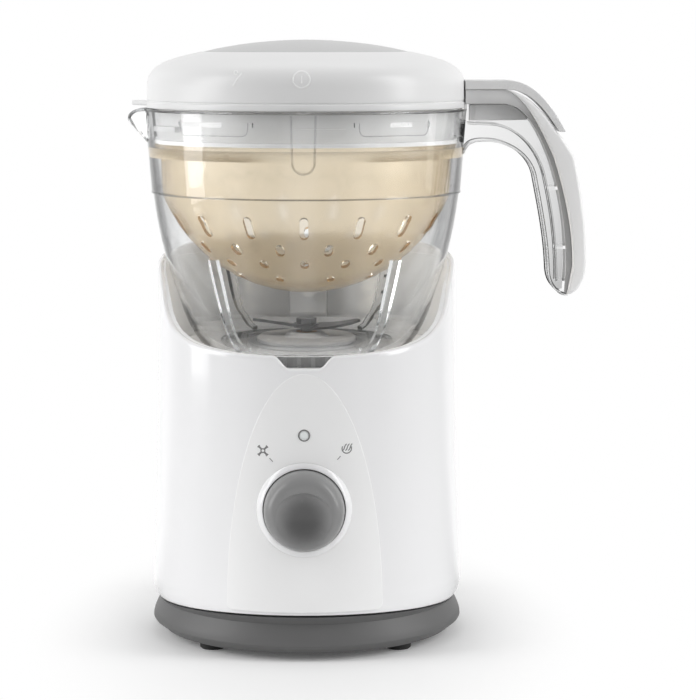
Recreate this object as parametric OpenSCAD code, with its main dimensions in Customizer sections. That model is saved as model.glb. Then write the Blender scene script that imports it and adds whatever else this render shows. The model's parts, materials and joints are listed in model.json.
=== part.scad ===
// Baby food maker: a motor base with a steam boiler, a clear blending jug that drops into its well,
// a steaming basket that hangs inside the jug and a domed lid that turns to lock.
// The feet stand on z = 0 with the jug's axis at x = y = 0. The front faces -Y, the handle +X.

/* [Housing] */
// Outer radius of the housing at its top edge
housing_top_r = 76; // [75.5:0.5:80]
// How much wider the housing is at its foot
housing_flare = 4.1; // [1:0.5:8]
// Thickness of the housing wall
housing_wall = 2.1; // [1.8:0.1:2.4]
// Height of the swooping lip at the front, above the well's floor
lip_rise = 15; // [13:1:18]
// How much higher the swooping lip is at the back
lip_sweep = 50; // [44:1:54]
// Width of the sight notch at the lip
notch_top_w = 28; // [20:1:40]
// Width of the sight notch at its bottom
notch_foot_w = 18; // [10:1:20]
// Depth of the sight notch below the lip
notch_depth = 6; // [3:0.5:8]

/* [Front panel] */
// Width of the arched control panel at its foot
arch_w = 77; // [60:1:90]
// Plain strip between the arch's crown and the front of the lip
arch_gap = 8; // [7:1:24]
// Depth of the rebate that the panel lies in
panel_t = 1.1; // [0.8:0.1:1.3]
// Gap round the panel's edge
panel_gap = 0.3; // [0.2:0.05:0.5]

/* [Base] */
// Height of the rubber feet
foot_h = 3.5; // [2:0.5:6]
// Radius of each rubber foot
foot_r = 6.5; // [4:0.5:8]
// Distance of each foot's middle from the edge of the base ring
foot_inset = 13.6; // [12.6:0.2:18]
// How far the base ring stands in from the housing's widest part
base_inset = 0.5; // [0:0.1:1.2]
// Height of the base ring's top edge
base_top_z = 19; // [17:0.5:20]
// Rise of the joint between base ring and housing, from the sides to the front
joint_rise = 4.6; // [3:0.2:5]
// Shadow gap at that joint
joint_gap = 0.6; // [0.4:0.1:0.8]

/* [Well] */
// Height of the well's floor, on which the jug stands
well_z = 136; // [132:1:140]
// How much narrower the well's floor is than its top
well_step = 4; // [3.6:0.1:5]
// Clearance round the jug's collar in the well
collar_gap = 1.2; // [0.8:0.1:2]
// Thickness of the well's liner
liner_wall = 1.6; // [1.4:0.1:2]

/* [Jug] */
// Outer radius of the jug at its rim
jug_rim_r = 82; // [81:0.5:86]
// Height of the jug's rim above the well's floor
jug_h = 133.5; // [130:0.5:138]
// Thickness of the jug's wall
jug_wall = 2.2; // [1.8:0.1:2.5]
// Reach of the pouring spout beyond the rim
spout_reach = 9; // [6:0.5:12]
// Height of the ribbed collar
collar_h = 14; // [13:0.5:14]
// Number of grip ribs round the collar
collar_ribs = 60; // [40:4:72]

/* [Handle] */
// Width of the handle's grip shell, front to back
grip_w = 26; // [22:1:32]
// Width of the dark inlay, front to back
inlay_w = 24; // [20:1:26]
// Width of the clear loop, front to back
loop_w = 21; // [18:1:24]
// Thickness of the clear loop's side walls
loop_wall = 2.6; // [2:0.1:3]

/* [Basket] */
// Gap between the basket and the jug's wall where the bowl begins
bowl_gap = 2.5; // [2:0.1:3.5]
// Thickness of the basket's wall
basket_wall = 1.6; // [1.2:0.1:2]
// Number of steam slots in each row
slot_count = 15; // [9:1:18]
// Width of each steam slot
slot_w = 4.2; // [2.5:0.1:5]

/* [Lid] */
// How far the lid's wall stands in from the jug's rim
lid_inset = 1.2; // [0.8:0.1:2]
// Height of the lid's crown above the jug's rim
lid_h = 34.8; // [32:0.2:38]
// Radius of the grey cap disc on the lid
cap_r = 52.4; // [40:0.5:58]
// Thickness of the lid's dome
lid_wall = 2.1; // [1.6:0.1:2.4]
// Angle that the lid turns through to lock
lock_turn = 24; // [20:1:24]

/* [Knob] */
// Radius of the control knob
knob_r = 20.6; // [16:0.5:23]
// How far the knob stands out of its seat
knob_h = 15; // [10:1:20]
// Height of the knob's axis above the feet
knob_z = 76; // [72:1:80]
// Height of the pilot light above the knob's axis
pilot_rise = 36.8; // [32:0.4:42]

/* [Motor] */
// Radius of the motor's stator
stator_r = 30; // [26:1:31]
// Radius of the motor's armature
armature_r = 17.6; // [14:0.2:18]
// Air gap between armature and stator
air_gap = 0.6; // [0.4:0.1:1]
// Radius of the motor shaft
motor_shaft_r = 4; // [3:0.5:4]
// Radial clearance of a shaft in its bearing or bush
running_gap = 0.04; // [0.02:0.01:0.08]

/* [Blades] */
// Length of the two-winged blade from tip to tip
blade_span = 56; // [40:1:60]
// Radius of the blade shaft
blade_shaft_r = 3; // [2.5:0.5:3.5]

/* [Boiler] */
// Gap between the boiler and the housing's wall
boiler_gap = 3.9; // [3.5:0.1:6]
// Gap between the boiler and the motor's stator
boiler_motor_gap = 6.5; // [6:0.1:8]
// Height of the boiler
boiler_h = 58; // [50:1:60]
// Angle that the boiler covers round the back
boiler_arc = 96; // [84:2:100]
// Radius of the filler's bore
filler_r = 11; // [8:0.5:12]

/* [Quality] */
// Number of sides of round shapes
sides = 96; // [64:8:128]

/* [Hidden] */
$fn = sides;
// Thickness that keeps one cut from ending on the face of another
eps = 0.01;
// Reach of a cutting tool that has to pass right through the object
far = 200;

// Heights and radii that several pieces are set out from
lip_front_z = well_z + lip_rise;
lip_back_z = lip_front_z + lip_sweep;
jug_rim_z = well_z + jug_h;
lid_top_z = jug_rim_z + lid_h;
pilot_z = knob_z + pilot_rise;
liner_top_r = housing_top_r - housing_wall - liner_wall - 0.1;
well_r = liner_top_r - well_step;
collar_r = well_r - collar_gap;

// ---------- shared shapes ----------

// Points of a cubic curve from a to d, pulled towards b and c
function curve(a, b, c, d, n = 8) =
    [for (i = [0 : n]) let (t = i / n, s = 1 - t)
        a * s * s * s + 3 * b * s * s * t + 3 * c * s * t * t + d * t * t * t];

// Points in reverse order
function reversed(p) = [for (i = [len(p) - 1 : -1 : 0]) p[i]];

// Outline of a slot w wide and l long with round ends
function slot_outline(w, l, n = 4) = concat(
    [for (i = [0 : n]) [w / 2 * cos(180 * i / n), (l - w) / 2 + w / 2 * sin(180 * i / n)]],
    [for (i = [0 : n]) [-w / 2 * cos(180 * i / n), -(l - w) / 2 - w / 2 * sin(180 * i / n)]]);

// A tube round the Z axis
module tube(r_out, r_in, z0, z1) {
    translate([0, 0, z0]) difference() {
        cylinder(r = r_out, h = z1 - z0);
        translate([0, 0, -1]) cylinder(r = r_in, h = z1 - z0 + 2);
    }
}

// A solid disc round the Z axis
module disc(r, z0, z1) {
    translate([0, 0, z0]) cylinder(r = r, h = z1 - z0);
}

// A piece of a ring, centred on the angle mid and arc degrees long
module sector(r_out, r_in, z0, z1, mid, arc) {
    rotate([0, 0, mid - arc / 2]) rotate_extrude(angle = arc)
        translate([r_in, z0]) square([r_out - r_in, z1 - z0]);
}

// Children copied round the Z axis at the given angles
module at_angles(angles) {
    for (a = angles) rotate([0, 0, a]) children();
}

// A round bar along Y, from y0 to y1, at the height z
module bar_y(r, y0, y1, z) {
    translate([0, y0, z]) rotate([-90, 0, 0]) cylinder(r = r, h = y1 - y0);
}

// A profile in the XZ plane given a width w along Y, centred on y = 0
module plate_xz(outline, w) {
    translate([0, w / 2, 0]) rotate([90, 0, 0]) linear_extrude(w) polygon(outline);
}

// ---------- housing ----------

housing_z = base_top_z;
housing_chamfer = 3.5;
housing_chamfer_h = 5.5;
housing_flare_power = 2.2;
housing_side_z = housing_z + housing_chamfer_h;
housing_cut_z = lip_back_z + 6;

// Outer radius of the housing at the height z
function housing_r(z) = housing_top_r
    + housing_flare * pow(max(0, (lip_back_z - z) / (lip_back_z - housing_side_z)), housing_flare_power);

housing_steps = 10;
housing_side = [for (i = [0 : housing_steps])
    let (z = housing_side_z + (housing_cut_z - housing_side_z) * i / housing_steps) [housing_r(z), z]];

// Solid of revolution of the housing's outside, drawn in by inset
module housing_solid(inset) {
    rotate_extrude() polygon(concat([[0, housing_z], [housing_r(housing_side_z) - housing_chamfer - inset,
        housing_z]], [for (p = housing_side) [p[0] - inset, p[1]]], [[0, housing_cut_z]]));
}

// Side view of the lip: low in front, a steep swoop at the sides, high at the back
lip_mid_y = -24;
lip_mid_z = lip_front_z + (lip_back_z - lip_front_z) * 0.48;
lip_start_y = -90;
lip_end_y = 90;
lip_curve = concat(
    curve([lip_start_y, lip_front_z - 0.3], [-52, lip_front_z + 1],
        [lip_mid_y - 8, lip_front_z + lip_sweep * 0.16], [lip_mid_y, lip_mid_z]),
    curve([lip_mid_y, lip_mid_z], [lip_mid_y + 10, lip_mid_z + lip_sweep * 0.4],
        [20, lip_back_z - lip_sweep * 0.08], [lip_end_y, lip_back_z]));

// Everything above the lip, lowered by drop
module above_lip(drop = 0) {
    top = lip_back_z + 40;
    translate([-far / 2, 0, -drop]) rotate([90, 0, 90])
        linear_extrude(far) polygon(concat(lip_curve, [[lip_end_y, top], [lip_start_y, top]]));
}

// The notch in the front of the lip, cut straight back
module sight_notch(y0, y1) {
    top = lip_front_z + 3;
    foot = lip_front_z - notch_depth;
    bend = 2;
    outline = [[-notch_top_w / 2 - bend, top], [-notch_top_w / 2, lip_front_z - bend / 2],
        [-notch_foot_w / 2 - bend, foot + bend], [-notch_foot_w / 2, foot], [notch_foot_w / 2, foot],
        [notch_foot_w / 2 + bend, foot + bend], [notch_top_w / 2, lip_front_z - bend / 2],
        [notch_top_w / 2 + bend, top]];
    translate([0, y1, 0]) rotate([90, 0, 0]) linear_extrude(y1 - y0) polygon(outline);
}

// Side view of the joint between the housing and the base ring, which rises towards the front
joint_curve = concat([[lip_end_y, housing_z]], curve([0, housing_z], [-0.4 * housing_top_r, housing_z + 0.07
    * joint_rise], [-0.78 * housing_top_r, housing_z + 0.77 * joint_rise], [lip_start_y, housing_z + joint_rise]));

// Everything outside the base's spigot and under the joint, lowered by drop
module under_joint(drop = 0) {
    difference() {
        translate([-far / 2, 0, -drop]) rotate([90, 0, 90]) linear_extrude(far)
            polygon(concat(joint_curve, [[lip_start_y, base_z], [lip_end_y, base_z]]));
        disc(housing_r(housing_side_z) - housing_chamfer - housing_wall, 0, lip_front_z);
    }
}

arch_foot_z = base_top_z + 8;
arch_top_z = lip_front_z - arch_gap;
arch_steps = 24;
// The arch's outline, a half ellipse on a straight foot
function arch_outline(grow) = concat([for (i = [0 : arch_steps])
    [(arch_w / 2 + grow) * cos(180 * i / arch_steps),
        arch_foot_z + (arch_top_z - arch_foot_z + grow) * sin(180 * i / arch_steps)]],
    [[-arch_w / 2 - grow, arch_foot_z - grow], [arch_w / 2 + grow, arch_foot_z - grow]]);

// The arch as a block in front of the axis
module arch_block(grow) {
    translate([0, -50, 0]) rotate([90, 0, 0]) linear_extrude(50) polygon(arch_outline(grow));
}

knob_seat_depth = 2.9;
knob_seat_y = knob_seat_depth - housing_r(knob_z);
bezel_r = knob_r + 0.9;
pilot_r = 3;
ledge_z = well_z - 2.1;
ledge_t = 2.5;
ledge_r = collar_r - 0.5;
boss_angles = [20, 160, 200, 340];
boss_ring_r = housing_r(base_top_z) - 16.1;
boss_r = 5;
boss_z = 22;
boss_h = 24;
screw_r = 1.9;
screw_l = 16;
web_t = 2.4;
liner_screw_angles = [12, 168, 222, 318];
liner_screw_ring_r = collar_r - 6.4;
liner_boss_r = 4.2;
gland_z = 11;
gland_r = 6;
duct_arc = 17;

// Glossy shell round the base, open at the bottom and at the lip
module main_housing() color("white") {
    difference() {
        housing_solid(0);
        difference() {
            housing_solid(housing_wall);
            disc(housing_top_r + housing_flare, housing_z - 1, housing_z);
        }
        tube(housing_r(housing_z) - housing_chamfer - housing_wall - eps, 0, housing_z - 1, housing_z + 1);
        above_lip();
        under_joint();
        sight_notch(-far / 2, -40);
        // rebate for the control panel
        difference() {
            arch_block(panel_gap);
            housing_solid(panel_t);
        }
        bar_y(bezel_r + 0.2, -far / 2, -50, knob_z);
        bar_y(pilot_r + 0.1, -far / 2, -50, pilot_z);
    }
    // ledge that carries the well's liner, open at the back for the steam duct
    difference() {
        union() {
            sector(housing_r(ledge_z) - housing_wall + 0.3, ledge_r, ledge_z - ledge_t, ledge_z, -90, 330);
            at_angles(liner_screw_angles) translate([liner_screw_ring_r, 0, ledge_z - screw_l])
                cylinder(r = liner_boss_r, h = screw_l);
            at_angles(liner_screw_angles)
                translate([liner_screw_ring_r, -web_t / 2, ledge_z - screw_l + 2])
                cube([housing_r(ledge_z) - housing_wall + 0.4 - liner_screw_ring_r, web_t, screw_l - 3]);
        }
        at_angles(liner_screw_angles) translate([liner_screw_ring_r, 0, ledge_z - screw_l + 3])
            cylinder(r = screw_r, h = screw_l + 4);
    }
    // screw bosses for the base cover
    difference() {
        at_angles(boss_angles) union() {
            translate([boss_ring_r, 0, boss_z]) cylinder(r = boss_r, h = boss_h);
            translate([boss_ring_r, -web_t / 2, boss_z + 6])
                cube([housing_r(boss_z + boss_h) - housing_wall + 0.3 - boss_ring_r, web_t, boss_h - 8]);
        }
        at_angles(boss_angles) translate([boss_ring_r, 0, boss_z - 1])
            cylinder(r = screw_r, h = screw_l + 4);
    }
}

// Arched panel let into the front of the housing
module front_panel() color("whitesmoke") difference() {
    intersection() {
        difference() {
            housing_solid(0);
            housing_solid(panel_t);
        }
        arch_block(0);
    }
    bar_y(bezel_r + 0.2, -far / 2, -50, knob_z);
    bar_y(pilot_r + 0.1, -far / 2, -50, pilot_z);
}

// ---------- base ----------

base_z = foot_h;
base_floor_t = 3;
base_bulge_r = housing_r(housing_side_z) - base_inset;
foot_ring_r = base_bulge_r - foot_inset;
gland_seat_y = housing_r(housing_side_z) - 8.2;
gland_back_y = base_bulge_r + 3.2;
spigot_r = housing_r(housing_side_z) - housing_chamfer - housing_wall - 0.2;
spigot_top_z = base_top_z + 6;
spigot_t = 2;
ring_top_r = housing_r(housing_side_z) - housing_chamfer - joint_gap;
foot_pocket = 1.5;
vent_count = 7;
vent_w = 4;
vent_l = 26;
vent_pitch = 7;
post_r = 5.5;
screw_head_r = 3.7;
screw_head_h = 3;
screw_seat_z = 14;
recess_l = 5;
recess_w = 1.2;

// Side of the ring, from the bottom plate over the bulge to the top edge
ring_side = concat([[base_bulge_r - 5.2, base_z], [base_bulge_r - 4.6, base_z + 0.6],
    [base_bulge_r - 0.6, base_z + 3.7]], curve([base_bulge_r, base_z + 4.7], [base_bulge_r + 0.1, base_z + 8],
    [ring_top_r + 1.6, base_z + 11.2], [ring_top_r, base_top_z - joint_gap], 6));

// Dark ring and bottom plate in one piece
module base_cover() color("dimgray") difference() {
    union() {
        rotate_extrude() polygon(concat([[0, base_z]], ring_side,
            [[ring_top_r - 0.8, base_top_z - joint_gap], [ring_top_r - 0.8, base_top_z],
            [spigot_r, base_top_z], [spigot_r, spigot_top_z], [spigot_r - spigot_t, spigot_top_z],
            [spigot_r - spigot_t, base_z + base_floor_t], [0, base_z + base_floor_t]]));
        // the ring's rim follows the joint up the front
        intersection() {
            rotate_extrude() polygon([[ring_top_r - 0.8, base_top_z - 1], [ring_top_r - 0.4, base_top_z - 1],
                [ring_top_r, base_top_z - joint_gap], [base_bulge_r + base_inset - joint_gap,
                housing_side_z - joint_gap], [ring_top_r - 0.8, housing_side_z - joint_gap]]);
            under_joint(joint_gap);
        }
        at_angles(boss_angles) translate([boss_ring_r, 0, base_z])
            cylinder(r = post_r, h = boss_z - base_z);
    }
    at_angles(boss_angles) translate([boss_ring_r, 0, 0]) {
        cylinder(r = screw_head_r + 0.4, h = screw_seat_z);
        cylinder(r = screw_r + 0.3, h = boss_z + 1);
    }
    at_angles([45 : 90 : 315]) translate([foot_ring_r, 0, 0])
        cylinder(r = foot_r, h = base_z + foot_pocket);
    for (i = [0 : vent_count - 1]) translate([(i - (vent_count - 1) / 2) * vent_pitch, 0, 0])
        linear_extrude(20) polygon(slot_outline(vent_w, vent_l));
    bar_y(gland_r - 1, gland_seat_y - 10, far / 2, gland_z);
    bar_y(gland_r + 1.5, gland_seat_y - 10, gland_seat_y + 0.1, gland_z);
}

// Four rubber feet pressed into pockets under the base
module rubber_feet() color("black") at_angles([45 : 90 : 315]) translate([foot_ring_r, 0, 0]) {
    edge = 0.8;
    cylinder(r1 = foot_r - edge, r2 = foot_r, h = edge);
    translate([0, 0, edge]) cylinder(r = foot_r, h = foot_h + foot_pocket - edge);
}

// Four screws that pull the base cover up against the housing
module base_screws() color("silver") at_angles(boss_angles) translate([boss_ring_r, 0, 0]) {
    difference() {
        disc(screw_head_r, screw_seat_z - screw_head_h, screw_seat_z);
        for (turn = [0, 90]) rotate([0, 0, turn])
            translate([-recess_l / 2, -recess_w / 2, screw_seat_z - screw_head_h - 1])
            cube([recess_l, recess_w, 2]);
    }
    disc(screw_r, screw_seat_z, boss_z + screw_l);
}

cord_bore_r = 3.4;
// Rubber gland for the power cord, in the back of the base
module cord_gland() color("black") difference() {
    union() {
        bar_y(gland_r - 1, gland_seat_y - 2, gland_back_y - 3, gland_z);
        bar_y(gland_r + 1.5, gland_seat_y - 3.9, gland_seat_y, gland_z);
        bar_y(gland_r + 0.8, gland_back_y - 3, gland_back_y, gland_z);
    }
    bar_y(cord_bore_r, gland_seat_y - 10, far / 2, gland_z);
}

// ---------- well ----------

liner_back_z = lip_back_z - 9;
well_hole_r = 15;
drip_lip_z = well_z + 2.8;
boiler_r = housing_top_r - housing_wall - boiler_gap;
boiler_inner_r = stator_r + boiler_motor_gap;
filler_neck_r = filler_r + 2.4;
filler_y = boiler_r - filler_neck_r - 6.6;
interlock_angle = 240;
interlock_ring_r = collar_r - 14;
pocket_box = [11, 23, 5];
pocket_wall = 1.2;
plunger_r = 2;
duct_in_r = collar_r + 0.8;
duct_out_r = housing_top_r - housing_wall - 0.2;

// Grey tub that the jug stands in
module well_liner() color("gainsboro") {
    outside = [for (z = [lip_front_z + 6, lip_back_z - 20, liner_back_z])
        [housing_r(z) - housing_wall - 0.1, z]];
    inside = [[liner_top_r, liner_back_z], [liner_top_r, lip_front_z]];
    difference() {
        union() {
            difference() {
                rotate_extrude() polygon(concat([[well_hole_r, ledge_z], [well_r + liner_wall + 3, ledge_z],
                    [well_r + liner_wall + 3, well_z], [well_r + liner_wall, well_z],
                    [well_r + liner_wall, lip_front_z - 5], [housing_r(lip_front_z) - housing_wall - 0.1,
                    lip_front_z + 1]], outside, inside, [[well_r, lip_front_z - 6], [well_r, well_z],
                    [well_hole_r + 2, well_z], [well_hole_r + 2, drip_lip_z], [well_hole_r, drip_lip_z]]));
                above_lip(0.8);
            }
            // posts that the motor hangs from
            at_angles(motor_post_angles) translate([motor_post_ring_r, 0, motor_post_z])
                cylinder(r = motor_post_r, h = ledge_z - motor_post_z + 1);
            // pocket that the interlock switch clips into
            rotate([0, 0, interlock_angle])
                translate([interlock_ring_r - pocket_box[0] / 2, -pocket_box[1] / 2, ledge_z - 4])
                difference() {
                    cube(pocket_box);
                    translate([pocket_wall, pocket_wall, -1])
                        cube(pocket_box - [2 * pocket_wall, 2 * pocket_wall, -0.1]);
                }
        }
        sight_notch(-far / 2, -40);
        at_angles(liner_screw_angles) translate([liner_screw_ring_r, 0, well_z - 20])
            cylinder(r = screw_r + 0.3, h = 40);
        at_angles(motor_post_angles) translate([motor_post_ring_r, 0, motor_post_z - 1])
            cylinder(r = screw_r, h = ledge_z - motor_post_z - 1.9);
        translate([0, filler_y, ledge_z - 1]) cylinder(r = filler_neck_r + 0.1, h = 10);
        rotate([0, 0, interlock_angle]) translate([interlock_ring_r, 0, ledge_z - 10])
            cylinder(r = plunger_r + 0.3, h = 20);
        sector(far / 2, duct_in_r - 0.2, ledge_z - 1, duct_top_z + 0.2, 90, duct_arc + 0.4);
    }
}

// Four screws that hold the liner down on the housing's ledge
module liner_screws() color("silver") at_angles(liner_screw_angles) translate([liner_screw_ring_r, 0, 0]) {
    translate([0, 0, well_z]) cylinder(r1 = 3.4, r2 = 2.6, h = 1.8);
    disc(screw_r, well_z - screw_l + 2, well_z);
}

// Rubber ring that keeps drips off the motor
module well_seal() color("dimgray")
    tube(well_hole_r, coupling_skirt_r + 0.4, ledge_z - 1, cup_z - 0.4);

duct_top_z = lip_front_z + 27;
duct_mouth_z = duct_top_z - 7;
duct_mouth_r = 3;
// Flat steam duct up the back of the well, with its mouth facing the jug
module steam_duct() color("gainsboro") difference() {
    rotate([0, 0, 90 - duct_arc / 2]) rotate_extrude(angle = duct_arc) polygon([
        [ledge_r, boiler_top_z], [duct_out_r, boiler_top_z], [duct_out_r, duct_top_z],
        [duct_in_r, duct_top_z], [duct_in_r, lip_front_z + 4], [well_r + liner_wall + 0.2, lip_front_z - 2],
        [well_r + liner_wall + 0.2, boiler_top_z + 4], [ledge_r, boiler_top_z + 4]]);
    sector(duct_out_r - 1, well_r + liner_wall + 1, boiler_top_z - 1, duct_mouth_z + 2, 90, duct_arc - 6);
    bar_y(duct_mouth_r, duct_in_r - 10, duct_out_r - 1.4, duct_mouth_z);
}

// ---------- control knob ----------

switch_y = knob_seat_y + 4;
switch_box = [32, 22, 28];
tab_box = [4.8, 7, 0.8];
knob_gap = 0.5;
knob_shaft_r = 3;
// White ring that the knob turns in
module knob_bezel() color("white") difference() {
    union() {
        bar_y(bezel_r, knob_seat_y, knob_seat_y + 2.6, knob_z);
        bar_y(bezel_r - 6, knob_seat_y + 2.5, switch_y, knob_z);
    }
    bar_y(knob_shaft_r + running_gap, knob_seat_y - 5, -50, knob_z);
}

// Dark knob with a thumb dish and a pointer line
module control_knob() color("gray") difference() {
    knob_back = knob_seat_y - knob_gap;
    round_over = 2.5;
    dish_r = 33;
    dish_w = 30;
    dish_drop = 4.7;
    dish_depth = dish_r - sqrt(pow(dish_r, 2) - pow(dish_w / 2, 2));
    pointer_w = 1.2;
    translate([0, knob_back, knob_z]) rotate([90, 0, 0]) rotate_extrude()
        polygon(concat([[0, 0], [knob_r, 0]], curve([knob_r - 0.4, knob_h - round_over],
            [knob_r - 0.5, knob_h - 1], [knob_r - 1.2, knob_h], [knob_r - round_over - 0.4, knob_h], 5),
            [[0, knob_h]]));
    translate([0, knob_back - knob_h - dish_r + dish_depth, knob_z - dish_drop]) sphere(r = dish_r);
    bar_y(knob_shaft_r, knob_back - knob_h + 6, knob_back + 1, knob_z);
    translate([-pointer_w / 2, knob_back - knob_h - 1, knob_z + knob_r - 4.2]) cube([pointer_w, 3.2, 5]);
}

// Shaft from the knob into the selector switch
module knob_shaft() color("silver")
    bar_y(knob_shaft_r, knob_seat_y - knob_gap - knob_h + 6, switch_y + 14, knob_z);

// Rotary selector switch behind the panel
module selector_switch() color("dimgray") difference() {
    union() {
        translate([-switch_box[0] / 2, switch_y, knob_z - switch_box[2] / 2]) cube(switch_box);
        for (x = [-10, 0, 10])
            translate([x - tab_box[0] / 2, switch_y + switch_box[1] - 0.2, knob_z - 6]) cube(tab_box);
    }
    bar_y(knob_shaft_r + running_gap, switch_y - 1, switch_y + 15, knob_z);
}

pilot_board_y = 10.9 - housing_r(pilot_z);
board_box = [24, 1.6, 16];
peg_x = 9;
// White pilot lens in the panel
module pilot_lens() color("white") {
    front_y = -housing_r(pilot_z) - 0.4;
    bar_y(pilot_r, front_y, pilot_board_y - 4, pilot_z);
    bar_y(pilot_r + 1.2, front_y + housing_wall + 0.6, front_y + housing_wall + 1.8, pilot_z);
}

// Small board with the pilot lamp, standing on two pegs behind the panel
module pilot_board() color("seagreen") {
    wall_y = housing_wall + 0.3 - housing_r(pilot_z) + peg_x * peg_x / (2 * housing_top_r);
    translate([-board_box[0] / 2, pilot_board_y, pilot_z - board_box[2] / 2]) cube(board_box);
    bar_y(2.4, pilot_board_y - 4, pilot_board_y + 0.2, pilot_z);
    for (x = [-peg_x, peg_x]) translate([x, 0, 0]) bar_y(1.6, wall_y, pilot_board_y, pilot_z);
}

// ---------- motor ----------

motor_post_angles = [45, 135, 225, 315];
motor_post_ring_r = stator_r + 1.4;
motor_post_r = 4;
motor_post_z = well_z - 26;
mount_h = 4.5;
bracket_t = 3;
bracket_z = motor_post_z - mount_h - bracket_t;
bearing_r = 9;
bearing_h = 6;
stator_h = 34;
stator_z = bracket_z - stator_h - 20.5;
lower_bracket_z = stator_z - 14;
coil_h = 4.5;
commutator_r = 9;
commutator_h = 8;
commutator_z = bracket_z - commutator_h - 6.5;
fan_z = bracket_z + bracket_t + 0.7;
fan_h = 8;
fan_r = 24;
fan_blades = 9;
coupling_z = well_z - 8;
coupling_skirt_r = 12;
coupling_skirt_z = well_z - 1.6;
dog_r = 8;
dog_top_z = well_z + 4.4;
shaft_foot_z = lower_bracket_z - bearing_h;
shaft_top_z = dog_top_z - 3;
tie_angles = [-12, 12, 168, 192];
tie_w = 10;
tie_t = 3;
tie_ring_r = stator_r - tie_t - 0.4;

// Laminated stator, tied between the brackets
module motor_stator() color("darkgray") difference() {
    disc(stator_r, stator_z, stator_z + stator_h);
    translate([0, 0, stator_z - 1]) cylinder(r = armature_r + air_gap, h = stator_h + 2);
    for (s = [-1, 1]) translate([s * (stator_r + 1), -5, stator_z - 1]) cylinder(r = 3, h = stator_h + 2);
}

// Copper end turns above and below the stator
module field_coils() color("chocolate") for (mid = [90, 270]) {
    coil_in_r = armature_r + air_gap + 0.4;
    coil_arc = 130;
    sector(stator_r - 2, coil_in_r, stator_z + stator_h, stator_z + stator_h + coil_h, mid, coil_arc);
    sector(stator_r - 2, coil_in_r, stator_z - coil_h, stator_z, mid, coil_arc);
}

// Steel plate that holds the upper bearing and hangs on the rubber mounts
module motor_upper_bracket() color("silver") {
    difference() {
        union() {
            disc(motor_post_ring_r + motor_post_r, bracket_z, bracket_z + bracket_t);
            disc(bearing_r + 2.4, bracket_z + bracket_t - bearing_h, bracket_z + bracket_t);
        }
        disc(bearing_r, bracket_z + bracket_t - bearing_h - 1, bracket_z + bracket_t + 1);
        at_angles(motor_post_angles) translate([motor_post_ring_r, 0, bracket_z - 1])
            cylinder(r = screw_r + 0.2, h = bracket_t + 2);
        at_angles([22.5 : 45 : 337.5]) translate([stator_r - 9, 0, bracket_z - 1])
            cylinder(r = 4.5, h = bracket_t + 2);
    }
    // four legs down to the stator
    at_angles(tie_angles) translate([tie_ring_r, -tie_w / 2, stator_z + stator_h])
        cube([tie_t, tie_w, bracket_z - stator_z - stator_h + 0.2]);
}

// Steel plate that holds the lower bearing under the stator
module motor_lower_bracket() color("silver") {
    difference() {
        union() {
            disc(stator_r - 0.4, lower_bracket_z - 3, lower_bracket_z);
            disc(bearing_r + 2.4, lower_bracket_z - bearing_h, lower_bracket_z);
        }
        disc(bearing_r, lower_bracket_z - bearing_h - 1, lower_bracket_z + 1);
        at_angles([45 : 90 : 315]) translate([stator_r - 10, 0, lower_bracket_z - 4])
            cylinder(r = 5, h = 6);
    }
    at_angles(tie_angles) translate([tie_ring_r, -tie_w / 2, lower_bracket_z - 0.2])
        cube([tie_t, tie_w, stator_z - lower_bracket_z + 0.2]);
}

// Rubber rings between the motor and the well's posts
module motor_rubber_mounts() color("black")
    at_angles(motor_post_angles) translate([motor_post_ring_r, 0, 0])
        tube(motor_post_r, screw_r + 0.2, bracket_z + bracket_t, motor_post_z);

// Screws up through the bracket and mounts into the posts
module motor_screws() color("silver")
    at_angles(motor_post_angles) translate([motor_post_ring_r, 0, 0]) {
        disc(3.4, bracket_z - 2.4, bracket_z);
        disc(screw_r, bracket_z, motor_post_z + screw_l);
    }

// Ball bearing, shown as its rings with a closed shield
module bearing(z) {
    tube(bearing_r, motor_shaft_r + running_gap, z, z + bearing_h);
}
module upper_bearing() color("lightsteelblue") bearing(bracket_z + bracket_t - bearing_h);
module lower_bearing() color("lightsteelblue") bearing(lower_bracket_z - bearing_h);

// Two carbon brush holders under the upper bracket
module brush_holders() color("saddlebrown") for (s = [0, 180]) rotate([0, 0, s]) {
    brush = [12, 5, commutator_h - 2.6];
    holder_w = brush[1] + 3;
    difference() {
        translate([commutator_r + 1.2, -holder_w / 2, commutator_z])
            cube([brush[0] + 1, holder_w, commutator_h]);
        translate([commutator_r, -brush[1] / 2 - 0.1, commutator_z + 1.2])
            cube([brush[0], brush[1] + 0.2, brush[2] + 0.2]);
    }
    translate([commutator_r + 0.1, -brush[1] / 2, commutator_z + 1.3]) cube(brush);
    translate([commutator_r + 4, -holder_w / 2, commutator_z + commutator_h])
        cube([holder_w, holder_w, bracket_z - commutator_z - commutator_h]);
}

// Slotted armature
module motor_rotor() color("peru") difference() {
    union() {
        disc(armature_r, stator_z - 1, stator_z + stator_h + 1);
        translate([0, 0, stator_z + stator_h + 1]) cylinder(r1 = armature_r - 2, r2 = commutator_r, h = 4);
        translate([0, 0, stator_z - 5]) cylinder(r1 = commutator_r, r2 = armature_r - 2, h = 4);
    }
    at_angles([15 : 30 : 345]) translate([armature_r - 2.4, -0.7, stator_z - 2])
        cube([4, 1.4, stator_h + 4]);
    disc(motor_shaft_r, stator_z - 6, stator_z + stator_h + 6);
}

// Copper segments that the brushes run on
module motor_commutator() color("darkorange") difference() {
    disc(commutator_r, commutator_z - 1, commutator_z + commutator_h + 1);
    disc(motor_shaft_r, commutator_z - 2, commutator_z + commutator_h + 2);
}

// Steel motor shaft
module motor_shaft() color("silver") disc(motor_shaft_r, shaft_foot_z, shaft_top_z);

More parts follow.
